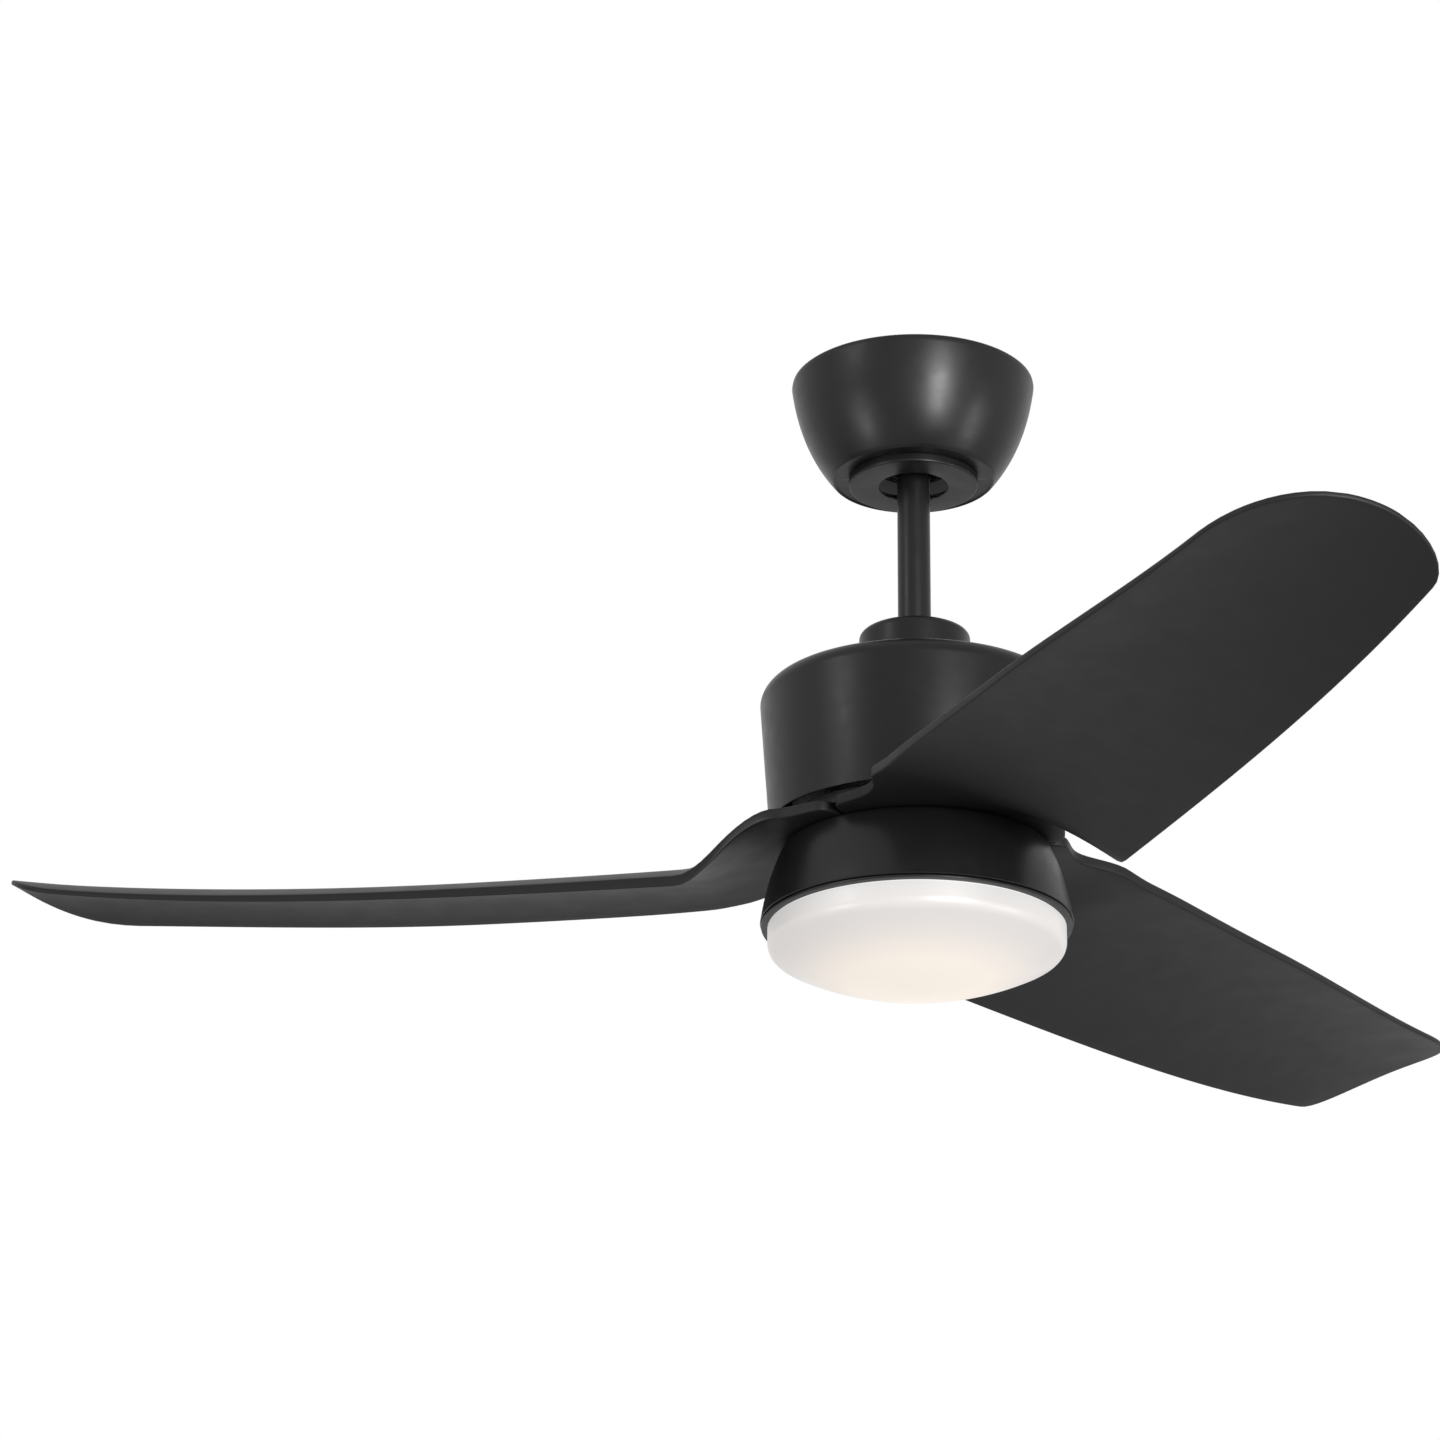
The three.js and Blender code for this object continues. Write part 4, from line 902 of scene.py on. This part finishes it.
def blade_mesh(s, name, bottom):
    """One blade along X: a bent, bowed and tapering plate whose edges are rounded all round."""
    plan = blade_plan(s, *BLADE_GRID)
    rows, columns = len(plan) - 1, len(plan[0]) - 1
    loop = [(i, 0) for i in range(rows)] + [(rows, j) for j in range(columns)]
    loop += [(rows - i, columns) for i in range(rows)] + [(0, columns - j) for j in range(columns)]
    rim = [plan[i][j] for i, j in loop]
    count = len(rim)
    inward = []
    for k, here in enumerate(rim):
        first = (here - rim[k - 1]).normalized()
        second = (rim[(k + 1) % count] - here).normalized()
        left = Vector((-first.y, first.x))
        normal = (left + Vector((-second.y, second.x))).normalized()
        inward.append(-normal / max(SHARPEST_MITER, normal.dot(left)))
    if (plan[rows // 2][1] - plan[rows // 2][0]).dot(inward[rows // 2]) < 0:
        inward = [-n for n in inward]
    points, rings = [], []

    def lifted(place, share_up, inset):
        thick = lerp(s.root_thickness, s.tip_thickness, clamp((place.x - s.thin_start) / s.thin_length))
        rise = share_up * (thick / 2 - s.edge) + inset
        return (place.x, place.y, bottom + blade_height(s, place.x, place.y) + thick / 2 + rise)

    for side in (-1, 1):
        for k in range(EDGE_STEPS + 1):
            angle = math.radians(90) * (k / EDGE_STEPS - 1 if side < 0 else k / EDGE_STEPS)
            ring = []
            for here, normal in zip(rim, inward):
                place = here + normal * s.edge * (1 - math.cos(angle))
                ring.append(len(points))
                points.append(lifted(place, side, s.edge * math.sin(angle)))
            rings.append(ring)
    faces = []
    for a, b in zip(rings, rings[1:]):
        for k in range(count):
            m = (k + 1) % count
            faces.append((a[k], a[m], b[m], b[k]))
    position = {place: k for k, place in enumerate(loop)}
    for side, ring in ((-1, rings[0]), (1, rings[-1])):
        index = {}
        for i in range(rows + 1):
            ends = [plan[i][j] + inward[position[(i, j)]] * s.edge for j in (0, columns)]
            for j in range(columns + 1):
                if (i, j) in position:
                    index[(i, j)] = ring[position[(i, j)]]
                    continue
                index[(i, j)] = len(points)
                points.append(lifted(ends[0].lerp(ends[1], j / columns), side, side * s.edge))
        for i in range(rows):
            for j in range(columns):
                faces.append((index[(i, j)], index[(i + 1, j)], index[(i + 1, j + 1)], index[(i, j + 1)]))
    return mesh_of(name, points, faces)


class FAN_OT_blades(bpy.types.Operator):
    """Builds the three moulded blades"""

    bl_idname = "fan.blades"
    bl_label = "Blades"

    def execute(self, context):
        s = context.scene.fan_blade
        top = low("blade_hub") - GAP
        bottom = top - s.root_thickness
        for i in range(3):
            name = f"moulded_blade_{i + 1}"
            mesh = blade_mesh(s, name, bottom)
            mesh.transform(Matrix.Rotation(math.radians(60 + 120 * i) + s.turn, 4, "Z"))
            screws = [f"blade_screw_{i + 1}{letter}" for letter in "abc"]
            holes = screw_bores(screws, bottom - OVERCUT, top + OVERCUT, DRILL_SIDES, s.screw_hole)
            new_piece(name, carved(mesh, holes), "rotor", "black_blade", f"blade_{i + 1}")
        return {"FINISHED"}


class FAN_OT_light_housing(bpy.types.Operator):
    """Builds the bowl that holds the light"""

    bl_idname = "fan.light_housing"
    bl_label = "Light Housing"

    def execute(self, context):
        s = context.scene.fan_light
        wide, top, bottom = spans("light_housing")
        narrow = wide - s.top_inset
        shelf, ceiling = top - s.recess, top - s.recess - s.wall
        ledge = narrow - s.ledge

        def side(inset):
            return curve((narrow - inset, top), (wide - s.belly - inset, top - s.belly_depth),
                         (wide - inset, bottom), 36)

        inner = [point for point in reversed(side(s.wall)) if point[1] < ceiling - 1 * MM]
        profile = [
            (s.shaft_hole, shelf), (ledge - 2 * MM, shelf), (ledge, top - 1 * MM), (ledge + 1 * MM, top),
            (narrow - 0.8 * MM, top), *side(0)[1:-1], (wide, bottom + 0.6 * MM), (wide - SHEET_EDGE, bottom),
            *inner, (ledge + 1 * MM, ceiling), (s.shaft_hole, ceiling),
        ]
        screws = [f"fitter_screw_{i}" for i in (1, 2, 3)]
        holes = screw_bores(screws, ceiling - OVERCUT, shelf + OVERCUT, DRILL_SIDES)
        mesh = carved(turned("light_bowl", profile), holes)
        new_piece("light_bowl", mesh, "hanging", "black_metal", "light_housing")
        return {"FINISHED"}


class FAN_OT_bezel(bpy.types.Operator):
    """Builds the thin ring that closes the light's housing, with the ledges that hold the lens"""

    bl_idname = "fan.bezel"
    bl_label = "Light Bezel"

    def execute(self, context):
        s = context.scene.fan_light
        wide, top, bottom = spans("light_bezel")
        neck = radius("lens") - s.shoulder
        inner = neck + s.lug_reach + s.collar_gap
        shelf = bottom + s.bezel_height
        profile = eased([
            (inner, bottom, FINE_EDGE), (wide, bottom, s.bezel_edge), (wide, shelf, s.bezel_edge * 0.6),
            (inner + s.collar, shelf, 0), (inner + s.collar, top, 0.4 * MM), (inner, top, 0.4 * MM),
        ])
        ledges = three_slices(inner + s.collar / 2, neck + 2 * GAP, bottom, s.lug_height, s.tab_angle)
        mesh = carved(turned("bezel_ring", profile), ledges, join=True)
        new_piece("bezel_ring", mesh, "hanging", "black_metal", "light_bezel")
        return {"FINISHED"}


class FAN_OT_lens(bpy.types.Operator):
    """Builds the opal lens with its neck and bayonet lugs"""

    bl_idname = "fan.lens"
    bl_label = "Lens"

    def execute(self, context):
        s = context.scene.fan_light
        wide, apex = radius("lens"), low("lens")
        top = low("light_bezel") - GAP
        neck = wide - s.shoulder
        neck_top = top + s.neck

        def bowl(inset):
            edge, dome = s.lens_edge - inset, s.lens_dome - inset
            corner = (wide - s.lens_edge, top - s.lens_side)
            middle = corner[1] + math.sqrt((dome - edge) ** 2 - corner[0] ** 2)
            meeting = math.degrees(math.asin(corner[0] / (dome - edge))) - 90
            points = arc((0, middle), dome, -90, meeting, 36) + arc(corner, edge, meeting, 0, 16)[1:]
            return [(0.0, max(points[0][1], apex)), *points[1:]]

        outside = [*bowl(0), (wide, top - s.lens_bevel), (wide - s.lens_bevel, top)]
        rest = [(neck, top), (neck, neck_top - 0.4 * MM), (neck - 0.4 * MM, neck_top),
                (neck - s.lens_wall, neck_top), (neck - s.lens_wall, top - s.lens_wall)]
        mesh = turned("opal_bowl", [*outside, *rest, *reversed(bowl(s.lens_wall))])
        lug_bottom = low("light_bezel") + s.lug_height + GAP
        lugs = three_slices(neck + s.lug_reach, neck - 1 * MM, lug_bottom, s.lug_height, s.lug_angle)
        new_piece("opal_bowl", carved(mesh, lugs, join=True), "lens", "opal", "lens")
        return {"FINISHED"}


def screw_mesh(name, node, head_up):
    """A pan-head screw with a cross recess, standing where a node stands."""
    lower, upper = box_of(node)
    head, height = (upper.x - lower.x) / 2, upper.z - lower.z
    shank, cap = 2 * MM, 2.4 * MM
    recess, recess_centre, half_arm = 1.3 * MM, 1.4 * MM, math.radians(14)
    profile = [(0, 0.9 * MM), (head * 0.5, 0.25 * MM), (head * 0.62, 0.12 * MM), (head * 0.85, 0.5 * MM),
               (head, 1.6 * MM), (head, cap), (shank, cap), (shank, height - 0.6 * MM),
               (shank - 0.6 * MM, height), (0, height)]
    mesh = turned(name, profile, SMALL_SIDES)
    for vertex in mesh.vertices:
        reach = math.hypot(vertex.co.x, vertex.co.y)
        turn = math.atan2(vertex.co.y, vertex.co.x) % (math.pi / 2)
        in_arm = min(turn, math.pi / 2 - turn) < half_arm
        if vertex.co.z < 0.4 * MM and reach < head * 0.55:
            vertex.co.z = recess if in_arm else 0.02 * MM
        elif reach == 0 and 0.8 * MM < vertex.co.z < cap:
            vertex.co.z = recess_centre
    if head_up:
        mesh.transform(Matrix.Translation((0, 0, height)) @ Matrix.Rotation(math.pi, 4, "X"))
    middle = (lower + upper) / 2
    mesh.transform(Matrix.Translation((middle.x, middle.y, lower.z)))
    return mesh


class FAN_OT_screws(bpy.types.Operator):
    """Builds the pan-head screws of the canopy, motor, blades and light"""

    bl_idname = "fan.screws"
    bl_label = "Screws"

    def execute(self, context):
        rows = [(f"canopy_screw_{i}", "ceiling_side", False) for i in (1, 2)]
        rows += [(f"housing_screw_{i}", "hanging", True) for i in (1, 2, 3)]
        rows += [(f"fitter_screw_{i}", "hanging", False) for i in (1, 2, 3)]
        rows += [(f"blade_screw_{i}{letter}", "rotor", False) for i in (1, 2, 3) for letter in "abc"]
        for node, body, head_up in rows:
            name = f"pan_head_{node}"
            new_piece(name, screw_mesh(name, node, head_up), body, "zinc", node)
        return {"FINISHED"}


def soft_box(name, node, rounding):
    """A case with rounded edges and a parting line, as large as a node's box."""
    lower, upper = box_of(node)
    middle = (lower + upper) / 2
    line = lerp(lower.z, upper.z, PARTING_HEIGHT)
    work = bmesh.new()
    bmesh.ops.create_cube(work, size=1)
    bmesh.ops.scale(work, vec=upper - lower, verts=work.verts)
    bmesh.ops.translate(work, vec=middle, verts=work.verts)
    upright = [e for e in work.edges if abs(e.verts[0].co.z - e.verts[1].co.z) > rounding]
    bmesh.ops.bevel(work, geom=upright, offset=rounding * 2, segments=6, affect="EDGES", profile=0.5)
    flat = [e for e in work.edges if abs(e.verts[0].co.z - e.verts[1].co.z) < LEVEL]
    bmesh.ops.bevel(work, geom=flat, offset=rounding * 0.7, segments=4, affect="EDGES", profile=0.5)
    for step in (-GROOVE * MM, 0.0, GROOVE * MM):
        bmesh.ops.bisect_plane(work, geom=[*work.verts, *work.edges, *work.faces],
                               plane_co=(0, 0, line + step), plane_no=(0, 0, 1))
    for vertex in work.verts:
        if abs(vertex.co.z - line) < LEVEL:
            inward = Vector((middle.x - vertex.co.x, middle.y - vertex.co.y, 0)).normalized()
            vertex.co += inward * GROOVE * MM
    mesh = bpy.data.meshes.new(name)
    work.to_mesh(mesh)
    work.free()
    return mesh


class FAN_OT_cases(bpy.types.Operator):
    """Builds the moulded cases of the remote receiver and the lamp driver"""

    bl_idname = "fan.cases"
    bl_label = "Receiver and Driver"

    def execute(self, context):
        for name, node, body, slot in (("receiver_case", "remote_receiver", "ceiling_side", "black_plastic"),
                                       ("driver_case", "led_driver", "hanging", "white_plastic")):
            new_piece(name, soft_box(name, node, 2 * MM), body, slot, node)
        return {"FINISHED"}


def soft_light(name, place, size, watts):
    """A rectangular soft light that faces the fan and stays out of the picture."""
    data = bpy.data.lights.new(name, "AREA")
    data.shape = "RECTANGLE"
    data.size, data.size_y = size
    data.energy = watts
    lamp = bpy.data.objects.new(name, data)
    lamp.location = place
    lamp.rotation_euler = (Vector(LAMP_TARGET) - Vector(place)).to_track_quat("-Z", "Y").to_euler()
    lamp.visible_camera = False
    bpy.context.scene.collection.objects.link(lamp)


class FAN_OT_stage(bpy.types.Operator):
    """Makes the pale floor, the soft lights and the camera"""

    bl_idname = "fan.stage"
    bl_label = "Stage"

    def execute(self, context):
        s = context.scene.fan_stage
        half, depth = s.floor_size / 2, -s.floor_drop
        corners = [(-half, -half, depth), (half, -half, depth), (half, half, depth), (-half, half, depth)]
        floor = bpy.data.objects.new("floor", mesh_of("floor", corners, [(0, 1, 2, 3)]))
        context.scene.collection.objects.link(floor)
        pale = plastic(Finish("pale_floor"), (0.82, 0.82, 0.82), 0.8, 4 * MM, 0.02, 0.995)
        floor.data.materials.append(pale)
        world = bpy.data.worlds.new("soft_white")
        world.use_nodes = True
        background = world.node_tree.nodes["Background"]
        background.inputs["Color"].default_value = (1, 1, 1, 1)
        background.inputs["Strength"].default_value = s.sky
        context.scene.world = world
        for lamp in LAMPS:
            soft_light(*lamp)
        data = bpy.data.cameras.new("camera")
        data.lens, data.sensor_width = s.focal_length, SENSOR_WIDTH
        data.clip_start, data.clip_end = NEAR, FAR
        camera = bpy.data.objects.new("camera", data)
        root = low("blade_hub") - GAP - context.scene.fan_blade.root_thickness
        camera.location = (s.offset, -s.distance, root - s.drop)
        turn = Matrix.Rotation(-s.yaw, 4, "Z") @ Matrix.Rotation(math.pi / 2 + s.pitch, 4, "X")
        camera.rotation_euler = (turn @ Matrix.Rotation(s.roll, 4, "Z")).to_euler()
        context.scene.collection.objects.link(camera)
        context.scene.camera = camera
        context.scene.view_settings.view_transform = "Standard"
        return {"FINISHED"}


# ---- panel and registration

PIECES = (
    FAN_OT_plain_finishes, FAN_OT_canopy, FAN_OT_trim_ring, FAN_OT_hanger_ball, FAN_OT_downrod,
    FAN_OT_coupling_cover, FAN_OT_motor_housing, FAN_OT_blades, FAN_OT_light_housing, FAN_OT_bezel,
    FAN_OT_lens, FAN_OT_screws, FAN_OT_cases, FAN_OT_stage,
)


class FAN_PT_panel(bpy.types.Panel):
    """Lists the fan's pieces and their sizes"""

    bl_label = "Ceiling Fan"
    bl_idname = "FAN_PT_panel"
    bl_space_type = "VIEW_3D"
    bl_region_type = "UI"
    bl_category = "Fan"

    def draw(self, context):
        for piece in PIECES:
            self.layout.operator(piece.bl_idname)
        for name, group in SETTINGS.items():
            box = self.layout.box()
            box.label(text=group.__doc__)
            for key in group.__annotations__:
                box.prop(getattr(context.scene, name), key)


def register():
    """Registers the settings, the operators and the panel."""
    for name, group in SETTINGS.items():
        bpy.utils.register_class(group)
        setattr(bpy.types.Scene, name, PointerProperty(type=group))
    for piece in (*PIECES, FAN_PT_panel):
        bpy.utils.register_class(piece)


def unregister():
    """Takes them all away again."""
    for piece in (FAN_PT_panel, *reversed(PIECES)):
        bpy.utils.unregister_class(piece)
    for name, group in SETTINGS.items():
        delattr(bpy.types.Scene, name)
        bpy.utils.unregister_class(group)


def main():
    """Builds the whole fan and its stage."""
    register()
    for piece in PIECES:
        family, action = piece.bl_idname.split(".")
        getattr(getattr(bpy.ops, family), action)()


if __name__ == "__main__":
    main()
